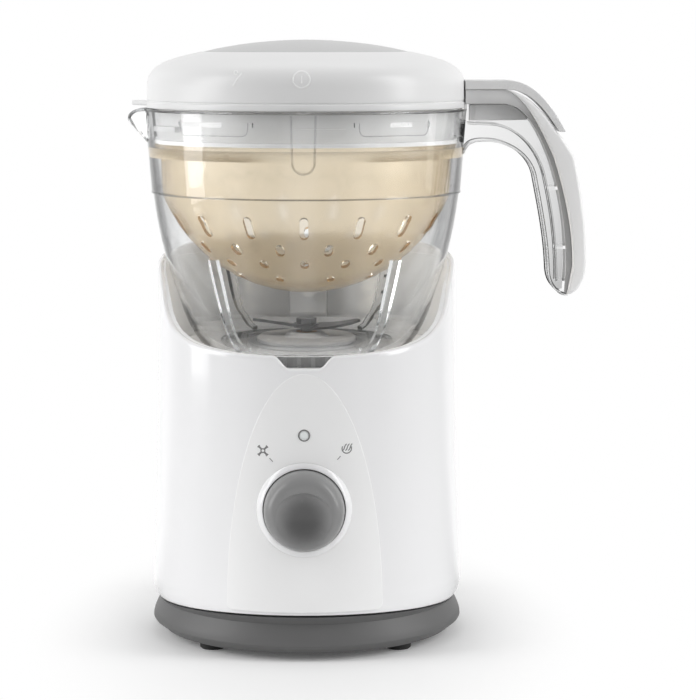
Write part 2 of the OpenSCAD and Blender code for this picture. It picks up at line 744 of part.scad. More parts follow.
// Fan that draws air up past the motor
module cooling_fan() color("lightgray") difference() {
    union() {
        disc(fan_r, fan_z, fan_z + 1.4);
        disc(motor_shaft_r + 3, fan_z, fan_z + fan_h);
        at_angles([0 : 360 / fan_blades : 359]) translate([motor_shaft_r + 2.5, -0.7, fan_z + 1])
            rotate([0, 0, 12]) cube([fan_r - motor_shaft_r - 4, 1.4, fan_h - 1]);
    }
    disc(motor_shaft_r, fan_z - 1, fan_z + fan_h + 1);
}

dog_count = 6;
dog_w = 3;
dog_reach = 2;
// Splined driver on top of the motor shaft
module drive_coupling() color("dimgray") difference() {
    union() {
        disc(coupling_skirt_r, coupling_z, coupling_skirt_z);
        disc(dog_r, coupling_skirt_z - 0.5, dog_top_z);
        at_angles([0 : 360 / dog_count : 359]) translate([0, -dog_w / 2, coupling_skirt_z - 0.5])
            cube([dog_r + dog_reach, dog_w, dog_top_z - coupling_skirt_z]);
    }
    disc(motor_shaft_r, coupling_z - 1, shaft_top_z);
}

// ---------- boiler ----------

boiler_top_z = well_z - 8;
boiler_z = boiler_top_z - boiler_h;
boiler_wall = 1.4;
leg_box = [2, 8, boiler_z - base_z - base_floor_t];
// Kidney-shaped steel boiler round the back of the motor, with its filler neck
module boiler_tank() color("silver") {
    side_cut = asin(boiler_wall / boiler_inner_r);
    difference() {
        union() {
            sector(boiler_r, boiler_inner_r, boiler_z, boiler_top_z, 90, boiler_arc);
            translate([0, filler_y, boiler_top_z - 1])
                cylinder(r = filler_neck_r, h = well_z - boiler_top_z);
        }
        sector(boiler_r - boiler_wall, boiler_inner_r + boiler_wall, boiler_z + boiler_wall,
            boiler_top_z - boiler_wall, 90, boiler_arc - 2 * side_cut);
        translate([0, filler_y, boiler_top_z - 4]) cylinder(r = filler_r, h = 20);
        translate([0, boiler_r - 2.8, boiler_top_z - 4]) cylinder(r = 1.2, h = 5);
    }
    // three legs that stand on the base cover
    for (leg = [[50, boiler_r - 3], [130, boiler_r - 3], [90, boiler_inner_r]])
        rotate([0, 0, leg[0]]) translate([leg[1], -leg_box[1] / 2, base_z + base_floor_t]) cube(leg_box);
}

heater_ring_r = boiler_inner_r + 14.5;
heater_r = 3.4;
plate_h = 4;
// Cast plate with the heating element, clamped under the boiler
module heating_plate() color("lightslategray") {
    sector(boiler_r - 4, boiler_inner_r + 2.6, boiler_z - plate_h, boiler_z, 90, boiler_arc - 8);
    rotate([0, 0, 90 - (boiler_arc - 20) / 2]) rotate_extrude(angle = boiler_arc - 20)
        translate([heater_ring_r, boiler_z - plate_h - 1]) circle(r = heater_r, $fn = 24);
}

// Thermostat button clipped under the heating plate
module thermostat() color("khaki") rotate([0, 0, 90]) {
    button_h = 9;
    foot_box = [8.4, 12, 2.2];
    translate([heater_ring_r + 10, 0, boiler_z - plate_h - button_h]) cylinder(r = 5, h = button_h);
    translate([heater_ring_r + 5.8, -foot_box[1] / 2, boiler_z - plate_h - button_h - 2]) cube(foot_box);
}

cap_disc_r = filler_neck_r - 0.2;
cap_disc_z = well_z + 0.2;
finger_bar = [2 * cap_disc_r - 3, 3, 1.6];
// Round cap that closes the boiler's filler, with a finger bar across it
module boiler_cap() color("lightgray") translate([0, filler_y, 0]) {
    disc(cap_disc_r, cap_disc_z, cap_disc_z + 1);
    disc(filler_r - 0.3, boiler_top_z - 3, cap_disc_z + 0.1);
    translate([-finger_bar[0] / 2, -finger_bar[1] / 2, cap_disc_z + 0.8]) cube(finger_bar);
}

// Silicone ring under the boiler cap
module boiler_cap_seal() color("tomato") translate([0, filler_y, 0])
    tube(filler_neck_r - 0.6, filler_r + 0.1, well_z - 1, cap_disc_z);

// ---------- interlock ----------

plunger_top_z = well_z + 3;
switch_body = [8.2, 20, 14];
// Microswitch under the well's floor
module interlock_switch() color("black") rotate([0, 0, interlock_angle])
    translate([interlock_ring_r, 0, 0]) difference() {
        translate([-switch_body[0] / 2, -switch_body[1] / 2, ledge_z - 3 - switch_body[2]])
            cube(switch_body);
        disc(plunger_r + 0.1, ledge_z - 8, ledge_z);
    }

// Plunger that the seated jug holds down
module interlock_plunger() color("orange") rotate([0, 0, interlock_angle])
    translate([interlock_ring_r, 0, 0]) {
        disc(plunger_r, ledge_z - 6, plunger_top_z - 0.8);
        translate([0, 0, plunger_top_z - 0.8]) cylinder(r1 = plunger_r, r2 = plunger_r - 0.8, h = 0.8);
    }

// ---------- jug ----------

jug_foot_z = well_z + 6;
jug_foot_r = collar_r - 21;
jug_floor_z = jug_foot_z + 3.5;
jug_floor_t = 2.6;
carrier_hole_r = 26.2;
ring_line_z = jug_rim_z - 41.5;
ring_step = 0.6;
side_end = [collar_r - 2, well_z + 36.5];
jug_side_r = jug_rim_r - 3.2;
// Curve of the jug's side below the ring line, drawn in by inset
function jug_side(inset) = curve([jug_side_r - ring_step - inset, ring_line_z - 0.6],
    [jug_side_r - 2.6 - inset, ring_line_z - 15], [liner_top_r + 1.8 - inset, ring_line_z - 31],
    [side_end[0] - inset, side_end[1]]);
jug_bottom_out = curve(side_end, side_end - [3.5, 11.5],
    [jug_foot_r + 10, jug_floor_z + 2], [jug_foot_r, jug_floor_z], 6);
jug_bottom_in = curve(side_end - [jug_wall, 0], side_end - [5.6, 9.5],
    [jug_foot_r + 7.5, jug_floor_z + jug_floor_t + 2], [jug_foot_r - 2, jug_floor_z + jug_floor_t], 6);
ledge_in_r = jug_side_r - 3.2;
basket_seat_z = jug_rim_z - 19;
rib_angles = [-140, -40, 40, 140];
rib_arc = 4;
rib_depth = 3;
ramp_mids = [124, 236, 304, 56];
ramp_arc = 32;
rim_round = 0.6;
ramp_z = jug_rim_z - 7.3;
ramp_h = 2.4;
ramp_in_r = jug_side_r - 1.4;
tongue_w = 11;
tongue_z = jug_rim_z - 29.5;
spout_half_w = 13;
spout_drop = 5.4;
spout_root_z = jug_rim_z - 16.5;
valve_z = duct_mouth_z;
lid_r = jug_rim_r - lid_inset;
lid_gap = 0.9;
inlay_key = [14, 10, 7];
valve_hole_r = 4;

// Inner radius of the jug's upper wall at the height z
function jug_in_r(z) = jug_side_r + (jug_rim_r - jug_side_r) * (z - ring_line_z) / (jug_rim_z - ring_line_z)
    - jug_wall;

// Bowl of the jug with its foot ring and the ledge that carries the basket
module jug_shell() {
    rotate_extrude() polygon(concat(
        [[carrier_hole_r, jug_floor_z], [jug_foot_r - 3, jug_floor_z], [jug_foot_r - 3, jug_foot_z],
            [jug_foot_r, jug_foot_z]],
        reversed(jug_bottom_out), reversed([for (i = [0 : 7]) jug_side(0)[i]]),
        [[jug_side_r, ring_line_z], [jug_rim_r, jug_rim_z - rim_round],
            [jug_rim_r - 0.3 * rim_round, jug_rim_z - 0.3 * rim_round],
            [jug_rim_r - rim_round, jug_rim_z], [jug_rim_r - jug_wall + rim_round, jug_rim_z],
            [jug_rim_r - jug_wall, jug_rim_z - rim_round],
            [jug_in_r(basket_seat_z), basket_seat_z], [ledge_in_r, basket_seat_z],
            [jug_in_r(basket_seat_z - 5), basket_seat_z - 5]],
        jug_side(jug_wall), [for (i = [1 : 6]) jug_bottom_in[i]],
        [[carrier_hole_r, jug_floor_z + jug_floor_t]]));
}

// Pouring lip: a wedge in plan and a beak from the side
module spout_block(inset) {
    tip_x = jug_rim_r + spout_reach - inset;
    half = spout_half_w - inset;
    tip_half = 1.6;
    root_x = jug_rim_r - 6;
    tip_z = jug_rim_z - spout_drop + inset;
    beak = [[-root_x, jug_rim_z + inset], [-tip_x, tip_z], [-tip_x + 1.4, tip_z - 1.6],
        [-jug_rim_r + 1.4, spout_root_z + inset], [-root_x, spout_root_z + inset]];
    intersection() {
        plate_xz(beak, 60);
        translate([0, 0, spout_root_z - 10]) linear_extrude(50)
            polygon([[-root_x, -half], [-root_x, half], [-tip_x, tip_half], [-tip_x, -tip_half]]);
    }
}

// Children moved to the jug's rim, where the outlines of the handle start from
module at_rim() {
    translate([jug_rim_r, 0, jug_rim_z]) children();
}

// Outlines of the clear loop of the handle and of the hollow in it, measured from the jug's rim
loop_outer = concat([[-4, 2.4], [19.4, 2.4]],
    curve([19.4, 2.4], [28, 1], [35, -8.5], [41.3, -25], 6),
    curve([41.3, -25], [46.5, -39.5], [50.2, -57.5], [50.4, -79.5], 6), [[49.6, -92.5]]);
loop_inner = concat([[47.1, -92.9]], curve([47.1, -92.9], [42.5, -89.5], [41.6, -85.5], [41.4, -79.5], 4),
    curve([41.4, -79.5], [40.6, -63.5], [37, -47.5], [34.7, -35.5], 4),
    curve([34.7, -35.5], [33, -23.5], [21, -15.8], [10, -15.8], 6),
    curve([10, -15.8], [2, -15.5], [-0.5, -17], [-4, -26.5], 4));
pocket_inner = concat(curve([45.6, -87.5], [45.4, -64.5], [43, -51.5], [39.5, -35.5], 5),
    curve([39.5, -35.5], [36.5, -20.5], [25, -8], [11, -7.7], 6), [[4, -7.2]]);
pocket_outer = concat([[4, 2.9], [19.4, 2.9]],
    curve([19.4, 2.9], [28, 1.5], [35.5, -8], [41.8, -24.8], 6),
    curve([41.8, -24.8], [47, -39.5], [50.7, -57.5], [50.9, -79.5], 6), [[50, -87.5]]);
rib_heights = [-70.3, -40.1];
rib_t = 1.6;

// Clear loop of the handle, hollowed from its outer edge and crossed by two ribs
module handle_loop() at_rim() difference() {
    plate_xz(concat(loop_outer, loop_inner), loop_w);
    difference() {
        plate_xz(concat(pocket_inner, pocket_outer), loop_w - 2 * loop_wall);
        for (z = rib_heights) translate([28, -loop_w, z - rib_t / 2]) cube([30, 2 * loop_w, rib_t]);
    }
}

// Clear jug with spout, handle loop, lid ramps and inner ribs
module jug_body() color("lightcyan", 0.4) {
    difference() {
        union() {
            jug_shell();
            difference() {
                union() {
                    spout_block(0);
                    handle_loop();
                }
                disc(jug_in_r(jug_rim_z) - 0.2, ring_line_z - 30, lid_top_z);
                disc(lid_r + lid_gap, jug_rim_z, lid_top_z);
            }
            at_angles(rib_angles) rotate([0, 0, -90 - rib_arc / 2]) rotate_extrude(angle = rib_arc)
                polygon(concat([for (i = [5 : 8]) jug_side(jug_wall - 0.4)[i]],
                    [for (i = [1 : 6]) jug_bottom_in[i]], reversed([for (i = [0 : 6]) jug_bottom_in[i]
                    + [-rib_depth * (1 - i / 7), rib_depth * i / 8]]),
                    [jug_side(jug_wall)[5] - [rib_depth, 0]]));
            at_angles(ramp_mids)
                sector(jug_in_r(ramp_z) + 0.6, ramp_in_r, ramp_z, ramp_z + ramp_h, 0, ramp_arc);
            // index tongue on the front of the wall
            intersection() {
                rotate_extrude() polygon([[jug_in_r(tongue_z - 6) + 1, tongue_z - 6],
                    [jug_in_r(jug_rim_z) + 1, jug_rim_z], [jug_rim_r + 0.8, jug_rim_z],
                    [jug_in_r(tongue_z - 6) + jug_wall + 0.8, tongue_z - 6]]);
                translate([0, -jug_rim_r + 22, jug_rim_z + 10]) rotate([90, 0, 0]) linear_extrude(40)
                    polygon(slot_outline(tongue_w, 2 * (jug_rim_z + 10 - tongue_z), 8));
            }
        }
        difference() {
            spout_block(1.8);
            disc(jug_rim_r - jug_wall - 1, ring_line_z - 28, spout_root_z - 1);
        }
        bar_y(valve_hole_r, side_end[0] - 10, collar_r + 5, valve_z);
    }
}

shell_outer = concat([[19, 9.7]], curve([23, 8.9], [32, 5.5], [39, -1.5], [45.6, -12.3], 5),
    curve([46.6, -12.6], [50, -18], [52.6, -21.5], [54.2, -24.7], 3),
    curve([54.2, -24.7], [57, -37.5], [60.8, -57.5], [60.6, -79.5], 7),
    curve([60.6, -79.5], [60, -86.5], [57, -92.5], [52.6, -93.9], 5));
inlay_outer = concat([[-2.2, 9.7], [19, 9.7]],
    curve([19, 9.7], [28, 7], [36, -7.5], [43.6, -24.8], 6),
    curve([43.6, -24.8], [49.5, -43.5], [53.6, -61.5], [53.4, -79.5], 6), [[50.8, -93.9]]);
inlay_inner = concat([[49.7, -92.9]],
    reversed(curve([41.4, -25], [46.6, -39.5], [50.3, -57.5], [50.5, -79.5], 6)),
    reversed(curve([19.4, 2.5], [28.1, 1.1], [35.1, -8.4], [41.4, -25], 6)), [[1.2 - lid_inset, 2.5]]);

handle_screw_r = 1.5;
handle_screw_end = 55;
// Light grey grip shell down the back of the handle
module handle_grip_shell() color("gainsboro") at_rim() difference() {
    plate_xz(concat(shell_outer, reversed([for (i = [1 : len(inlay_outer) - 1]) inlay_outer[i]])), grip_w);
    for (z = rib_heights) translate([handle_screw_end - 17, 0, z]) rotate([0, 90, 0])
        cylinder(r = handle_screw_r, h = 17);
}

// Dark inlay between the clear loop and the grip shell
module handle_inlay() color("gray") difference() {
    union() {
        difference() {
            at_rim() plate_xz(concat(inlay_outer, inlay_inner), inlay_w);
            disc(lid_r + lid_gap, ring_line_z, lid_top_z);
        }
        // tongue let into the top of the clear loop
        at_rim() translate([6, -inlay_key[1] / 2, -3.5]) cube(inlay_key);
    }
    at_rim() for (z = rib_heights) translate([28, 0, z]) rotate([0, 90, 0])
        cylinder(r = handle_screw_r, h = 30);
}

// Light strip over the top of the handle, free at its lower end
module handle_top_strip() color("lightgray") difference() {
    at_rim() plate_xz(concat([[-2.2, 9.85]], curve([19, 9.85], [30, 9.5], [37, 3], [46.3, -11.5], 6),
        [[49.6, -11.5]], reversed(curve([19, 14.5], [31, 14.5], [40, 6.5], [49.6, -11.5], 6)),
        [[-2.2, 14.5]]), grip_w);
    disc(lid_r + lid_gap, ring_line_z, lid_top_z);
}

// Two screws through the inlay into the grip shell
module handle_screws() color("silver") at_rim() for (i = [0, 1]) {
    start = [51, 47.5][i];
    translate([start, 0, rib_heights[i]]) rotate([0, 90, 0])
        cylinder(r = handle_screw_r, h = handle_screw_end - start);
}

// Silicone valve in the jug's back wall, facing the steam duct
module steam_valve() color("lightgray") difference() {
    bar_y(valve_hole_r, side_end[0] - 5, duct_in_r - 0.5, valve_z);
    bar_y(1.6, side_end[0] - 10, duct_in_r + 5, valve_z);
    disc(side_end[0] - 4.5, valve_z - 12, valve_z + 12);
}

// ---------- blade unit ----------

collar_wall = 2.6;
web_z = well_z + 3;
web_in_r = 20;
rib_bite = 0.8;
collar_top_z = well_z + collar_h;
// Outline of the collar with a grip rib at each step
function ribbed(r, bite, n) = [for (i = [0 : 4 * n - 1])
    let (a = 90 * i / n, rr = (i % 4 < 2) ? r : r - bite) [rr * cos(a), rr * sin(a)]];

// Ribbed collar that locks the blade unit to the jug's foot
module jug_collar() color("darkgray") difference() {
    translate([0, 0, well_z]) linear_extrude(collar_h) polygon(ribbed(collar_r, rib_bite, collar_ribs));
    disc(collar_r - collar_wall, jug_foot_z, collar_top_z + 1);
    disc(collar_r - collar_wall, well_z - 1, web_z);
    disc(web_in_r, well_z - 1, collar_top_z);
}

flange_t = 1.6;
flange_r = 30.4;
carrier_r = carrier_hole_r - 0.4;
carrier_top_z = jug_floor_z + jug_floor_t + 2.5;
tower_r = 8.5;
tower_top_z = carrier_top_z + 2.4;
cup_top_z = jug_foot_z + 2.4;
// Grey carrier of the blades, with its flange under the jug's floor
module blade_carrier() color("darkgray") rotate_extrude() polygon([
    [bush_r, cup_top_z + 0.8], [tower_r, cup_top_z + 0.8], [tower_r, carrier_top_z - 2],
    [carrier_r - 2, carrier_top_z - 2], [carrier_r - 2, jug_foot_z], [flange_r, jug_foot_z],
    [flange_r, jug_foot_z + flange_t], [carrier_r, jug_foot_z + flange_t],
    [carrier_r, carrier_top_z - 1], [carrier_r - 1.2, carrier_top_z], [tower_r + 3, carrier_top_z],
    [tower_r, tower_top_z], [bush_r, tower_top_z]]);

// Seal squeezed between the carrier's flange and the jug's floor
module carrier_seal() color("lightgray")
    tube(flange_r - 0.4, carrier_r, jug_foot_z + flange_t, jug_floor_z);

bush_r = 5.6;
// Bronze bush in the carrier's tower
module blade_bush() color("goldenrod")
    tube(bush_r, blade_shaft_r + running_gap, cup_top_z + 0.8, tower_top_z);

blade_z = tower_top_z + 2.2;
blade_t = 1.4;
blade_hub_r = 6.5;
wing_pitch = 8;
wing_rise = 7;
nut_h = 2.8;
nut_z = blade_z + 2.2;
// Steel shaft of the blades
module blade_shaft() color("silver") disc(blade_shaft_r, cup_top_z - 2, nut_z + nut_h);

// One wing of the blade, an S in plan
wing_outline = concat(curve([0, -5], [10, -8.5], [20, -6.5], [blade_span / 2, 2.5], 6),
    [[blade_span / 2 - 1.6, 4.2]], curve([blade_span / 2 - 4, 4], [18, 1.2], [11, 2.6], [0, 6], 6));
// Two-winged blade, turned a little about the axis
module blade_wings() color("silver") rotate([0, 0, -8]) difference() {
    union() {
        disc(blade_hub_r, blade_z, nut_z);
        for (a = [0, 180]) rotate([0, 0, a]) translate([4, 0, blade_z]) rotate([wing_pitch, -wing_rise, 0])
            translate([-4, 0, 0]) linear_extrude(blade_t) polygon(wing_outline);
    }
    disc(blade_shaft_r, blade_z - 10, blade_z + 10);
}

// Nut that clamps the blades on their shaft
module blade_nut() color("silver") difference() {
    translate([0, 0, nut_z]) cylinder(r = 5.2, h = nut_h, $fn = 6);
    disc(blade_shaft_r, blade_z, blade_z + 20);
}

cup_z = web_z - 1.4;
cup_r = 13;
socket_gap = 0.4;
// Female coupling under the blade shaft, over the motor's splined driver
module jug_coupling() color("dimgray") difference() {
    disc(cup_r, cup_z, cup_top_z);
    disc(dog_r + socket_gap, cup_z - 1, dog_top_z + 0.6);
    at_angles([0 : 360 / dog_count : 359]) translate([0, -dog_w / 2 - socket_gap, cup_z - 1])
        cube([dog_r + dog_reach + socket_gap, dog_w + 2 * socket_gap, dog_top_z + 1.6 - cup_z]);
    disc(blade_shaft_r, cup_top_z - 2, cup_top_z + 1);
}

// ---------- basket ----------

bowl_z = basket_seat_z + 4;
basket_rim_r = jug_side_r - 1.8;
flange_h = 2;
basket_side_r = jug_side_r - 4.4;
join_drop = 27.5;
join_r = jug_side_r - ring_step - jug_wall - bowl_gap;
// Outer radius of the bowl, and the angle below the horizontal at which it meets the straight wall
bowl_r = norm([join_r, join_drop]);
join_angle = asin(join_drop / bowl_r);
bowl_steps = 10;
// Points of the bowl from its wall to its bottom, drawn in by inset
function bowl(inset) = [for (i = [0 : bowl_steps])
    let (a = join_angle + (90 - join_angle) * i / bowl_steps)
        [(bowl_r - inset) * cos(a), bowl_z - (bowl_r - inset) * sin(a)]];
// Rows of slots: angle below the horizontal, length, number and turn
slot_rows = [[32.4, 13, slot_count, 0.5], [43, 7.5, slot_count, 0], [51, 6, slot_count, 0.5],
    [62, 5, 9, 0]];

// Amber steaming basket with rows of slots through its bowl
module steam_basket() color("sandybrown", 0.7) difference() {
    rotate_extrude() polygon(concat(
        [[basket_rim_r, basket_seat_z + flange_h], [basket_rim_r, basket_seat_z],
            [basket_side_r, basket_seat_z]],
        bowl(0), reversed(bowl(basket_wall)),
        [[basket_side_r - basket_wall, basket_seat_z + flange_h]]));
    for (row = slot_rows) for (i = [0 : row[2] - 1])
        rotate([0, 0, 90 + (i + row[3]) * 360 / row[2]]) translate([0, 0, bowl_z]) rotate([0, row[0], 0])
            translate([bowl_r - 6, 0, 0]) rotate([90, 0, 90]) linear_extrude(12)
                polygon(slot_outline(slot_w, max(row[1], slot_w + 0.2)));
}

// ---------- lid ----------

seal_z = basket_seat_z + flange_h;
seal_h = 2;
// Silicone ring that the lid closes on
module lid_seal() color("lightgray")
    tube(basket_rim_r - 0.2, basket_side_r - basket_wall, seal_z, seal_z + seal_h);

lid_z = jug_rim_z + 0.6;
lid_side_top_z = jug_rim_z + 11.5;
cap_rim_z = lid_top_z - 6;
cap_t = 1.6;
cap_seat_z = cap_rim_z - cap_t;
cap_seat_top_z = lid_top_z - 2.6;
inner_plate_z = jug_rim_z + 1.7;
inner_plate_t = 1.5;
skirt_r = lid_r - 5.4;
skirt_t = 2;
lug_arc = 18;
lug_mids = [for (m = ramp_mids) m - lock_turn - 4];
lug_h = 2.6;
lug_z = ramp_z - lug_h - 0.6;
lug_r = ramp_in_r + 1.3;
// Outside of the dome from its wall up to the cap disc, drawn in by inset
function dome(inset) = curve([lid_r - inset, lid_side_top_z], [lid_r - inset, lid_side_top_z + 10 - inset],
    [lid_r - 8.8 - inset / 2, lid_top_z - 9.8 - inset], [cap_r + 0.6, cap_rim_z - inset], 8);

// White dome of the lid, with a tongue over the spout
module lid_dome() color("white") {
    root_x = lid_r - 4.8;
    tip_x = jug_rim_r + spout_reach - 2.3;
    union() {
        rotate_extrude() polygon(concat([[lid_r + 0.2, lid_z], [lid_r, lid_z + 3]], dome(0),
            [[cap_r + 0.2, cap_rim_z], [cap_r + 0.2, cap_seat_z], [cap_r, cap_seat_z], [0, cap_seat_top_z],
            [0, cap_seat_top_z - lid_wall], [cap_r - 2, cap_seat_z - lid_wall]], reversed(dome(lid_wall)),
            [[lid_r - lid_wall, lid_z]]));
        difference() {
            translate([0, 0, lid_z + 1.2]) linear_extrude(2.4)
                polygon([for (p = [[root_x, -spout_half_w], [root_x, spout_half_w], [tip_x, 2.6],
                    [tip_x, -2.6]]) [-p[0], p[1]]]);
            disc(lid_r - 1, lid_z, lid_z + 5);
        }
    }
}

// Grey disc let into the top of the dome
module lid_cap() color("silver") rotate_extrude() polygon(concat([[0, cap_seat_top_z], [cap_r, cap_seat_z]],
    curve([cap_r, cap_rim_z - 0.2], [cap_r * 0.73, lid_top_z - 2.4], [cap_r * 0.34, lid_top_z],
        [0, lid_top_z], 6)));

// Translucent inner lid: a plate inside the dome and a skirt that reaches into the jug
module lid_inner() color("gainsboro", 0.8) {
    rotate_extrude() polygon([[0, inner_plate_z], [skirt_r - skirt_t, inner_plate_z],
        [skirt_r - skirt_t, seal_z + seal_h], [skirt_r, seal_z + seal_h], [skirt_r, inner_plate_z],
        [lid_r - lid_wall, inner_plate_z], [lid_r - lid_wall, inner_plate_z + inner_plate_t],
        [0, inner_plate_z + inner_plate_t]]);
    at_angles(lug_mids) sector(lug_r, skirt_r - 0.5, lug_z, lug_z + lug_h, 0, lug_arc);
}

base_cover();
rubber_feet();
base_screws();
main_housing();
front_panel();
well_liner();
liner_screws();
cord_gland();
knob_bezel();
control_knob();
knob_shaft();
selector_switch();
pilot_lens();
pilot_board();
motor_upper_bracket();
motor_lower_bracket();
motor_stator();
field_coils();
motor_rubber_mounts();
motor_screws();
upper_bearing();
lower_bearing();
brush_holders();
motor_rotor();
motor_commutator();
motor_shaft();
cooling_fan();
drive_coupling();
well_seal();
boiler_tank();
heating_plate();
thermostat();
steam_duct();
boiler_cap();
boiler_cap_seal();
interlock_switch();
interlock_plunger();
jug_body();
handle_grip_shell();
handle_inlay();
handle_top_strip();
handle_screws();
steam_valve();
jug_collar();
blade_carrier();
carrier_seal();
blade_bush();
blade_shaft();
blade_wings();
blade_nut();
jug_coupling();
steam_basket();
lid_seal();
lid_inner();
lid_dome();
lid_cap();
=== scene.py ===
# Baby food maker: a motor base with a steam boiler, a clear jug with a hooked handle, an amber
# steaming basket and a domed lid. Sizes are in millimetres unless a name ends in _m.
import json
import math

import bmesh
import bpy
import numpy as np
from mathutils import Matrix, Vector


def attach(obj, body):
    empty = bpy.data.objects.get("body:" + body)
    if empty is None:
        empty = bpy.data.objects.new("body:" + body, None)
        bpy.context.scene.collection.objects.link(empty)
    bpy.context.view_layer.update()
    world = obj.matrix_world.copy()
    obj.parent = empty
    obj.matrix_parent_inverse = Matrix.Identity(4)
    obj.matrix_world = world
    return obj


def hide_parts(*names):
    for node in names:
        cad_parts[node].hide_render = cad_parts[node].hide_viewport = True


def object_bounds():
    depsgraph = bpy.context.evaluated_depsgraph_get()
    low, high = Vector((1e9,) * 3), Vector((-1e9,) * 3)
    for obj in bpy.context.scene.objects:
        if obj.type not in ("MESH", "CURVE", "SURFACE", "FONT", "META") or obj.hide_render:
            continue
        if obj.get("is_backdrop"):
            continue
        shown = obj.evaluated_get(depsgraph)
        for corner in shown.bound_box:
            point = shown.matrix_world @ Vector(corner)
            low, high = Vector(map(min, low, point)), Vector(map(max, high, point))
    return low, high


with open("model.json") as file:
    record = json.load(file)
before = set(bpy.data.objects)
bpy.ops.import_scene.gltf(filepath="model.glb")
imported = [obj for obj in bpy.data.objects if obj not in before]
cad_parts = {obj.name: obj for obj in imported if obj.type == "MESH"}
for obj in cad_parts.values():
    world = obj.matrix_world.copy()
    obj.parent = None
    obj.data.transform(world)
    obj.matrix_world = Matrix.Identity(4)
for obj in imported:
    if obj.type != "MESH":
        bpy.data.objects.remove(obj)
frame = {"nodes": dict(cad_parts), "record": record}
solids = frame["nodes"]
cad_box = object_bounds()
scene = bpy.context.scene
scene.view_settings.view_transform = "Standard"

# ---------- camera ----------
# A long lens a little above the lid, tilted seven degrees down at the front of the machine.
tilt_down = 7
camera = bpy.data.objects.new("camera", bpy.data.cameras.new("camera"))
camera.location = (0.0214, -1.300, 0.305)
camera.rotation_euler = (math.radians(90 - tilt_down), 0, 0)
camera.data.lens = 130.6
camera.data.sensor_width = 36
scene.collection.objects.link(camera)
scene.camera = camera

# ---------- studio ----------
# A white table that runs out into a white room. Mirrored rays find both darker at the flanks, and
# rays through clear plastic find grey and black bands there, which draw the dark lines of its edges.
# The lamps are two tall softboxes, one over the back, and two small ones at the sides.


class Level:
    """A number or colour in a shader. Numbers can be used in sums."""

    def __init__(self, paint, socket):
        self.paint = paint
        self.socket = socket

    def maths(self, operation, *values):
        return self.paint.node("ShaderNodeMath", {"operation": operation}, dict(enumerate(values)))

    def __add__(self, other):
        return self.maths("ADD", self, other)

    __radd__ = __add__

    def __sub__(self, other):
        return self.maths("SUBTRACT", self, other)

    def __rsub__(self, other):
        return self.maths("SUBTRACT", other, self)

    def __mul__(self, other):
        return self.maths("MULTIPLY", self, other)

    __rmul__ = __mul__

    def __truediv__(self, other):
        return self.maths("DIVIDE", self, other)

    def ramp(self, low, high):
        """0 below low, 1 above high, and a soft step between them."""
        return self.paint.node(
            "ShaderNodeMapRange",
            {"interpolation_type": "SMOOTHSTEP"},
            {"Value": self, "From Min": low, "From Max": high},
        )


class Paint:
    """The nodes of one material, or of the world."""

    def __init__(self, owner):
        owner.use_nodes = True
        self.owner = owner
        self.tree = owner.node_tree
        self.tree.nodes.clear()

    def node(self, kind, settings, sockets, output=0):
        """A node with its settings and with its sockets linked or set, and one of its outputs."""
        made = self.tree.nodes.new(kind)
        for name, value in settings.items():
            setattr(made, name, value)
        for name, value in sockets.items():
            if isinstance(value, Level):
                self.tree.links.new(value.socket, made.inputs[name])
            else:
                made.inputs[name].default_value = value
        return Level(self, made.outputs[output]) if made.outputs else made

    def mix(self, amount, first, second):
        """A colour between two colours."""
        sockets = {0: amount, 6: first, 7: second}
        return self.node("ShaderNodeMix", {"data_type": "RGBA"}, sockets, 2)

    def place(self, kind="Object"):
        return self.node("ShaderNodeTexCoord", {}, {}, kind)

    def axis(self, letter, kind="Object"):
        """One coordinate of the place."""
        return self.node("ShaderNodeSeparateXYZ", {}, {0: self.place(kind)}, letter)

    def scaled(self, factors):
        """The place with its three coordinates scaled."""
        sockets = {0: self.place(), 1: factors}
        return self.node("ShaderNodeVectorMath", {"operation": "MULTIPLY"}, sockets, "Vector")

    def length(self, vector):
        """How far a place is from the middle."""
        return self.node("ShaderNodeVectorMath", {"operation": "LENGTH"}, {0: vector}, "Value")

    def noise(self, size_mm, detail=2.0, roughness=0.5, stretch=(1, 1, 1)):
        """Soft noise from 0 to 1 with features of about size_mm."""
        place = self.node("ShaderNodeMapping", {}, {"Vector": self.place(), "Scale": stretch})
        sockets = {"Vector": place, "Scale": 1000 / size_mm, "Detail": detail, "Roughness": roughness}
        return self.node("ShaderNodeTexNoise", {}, sockets, "Fac")

    def ways(self):
        """1 for what is seen straight, 1 for what is mirrored, 1 for what is seen through plastic."""
        names = ("Is Camera Ray", "Is Glossy Ray", "Is Transmission Ray")
        straight, glossy, through = (self.node("ShaderNodeLightPath", {}, {}, n) for n in names)
        return straight, glossy * (1 - through), through


def tone(red, green=None, blue=None):
    """A colour from its 0 to 255 display values."""
    green, blue = (red, red) if green is None else (green, blue)
    values = [v / 255 for v in (red, green, blue)]
    return tuple(v / 12.92 if v < 0.04 else ((v + 0.055) / 1.055) ** 2.4 for v in values) + (1,)


table_reach_m = 6.0
# where the table turns into plain white, and how much sooner it does so at the sides
fade_start_m, fade_end_m, side_stretch = 0.12, 0.26, 1.8
# where the table throws less light back at the object, and its tones before and after
dim_start_m, dim_end_m, near_tone, far_tone = 0.30, 0.75, tone(246), tone(120)
table_fill = 0.06
# how far round to the flank, from 0 in front to 1 at the side, it darkens to mirrored rays
mirror_flank, table_mirror_drop, room_mirror_drop = (0.70, 0.93), 0.72, 0.8
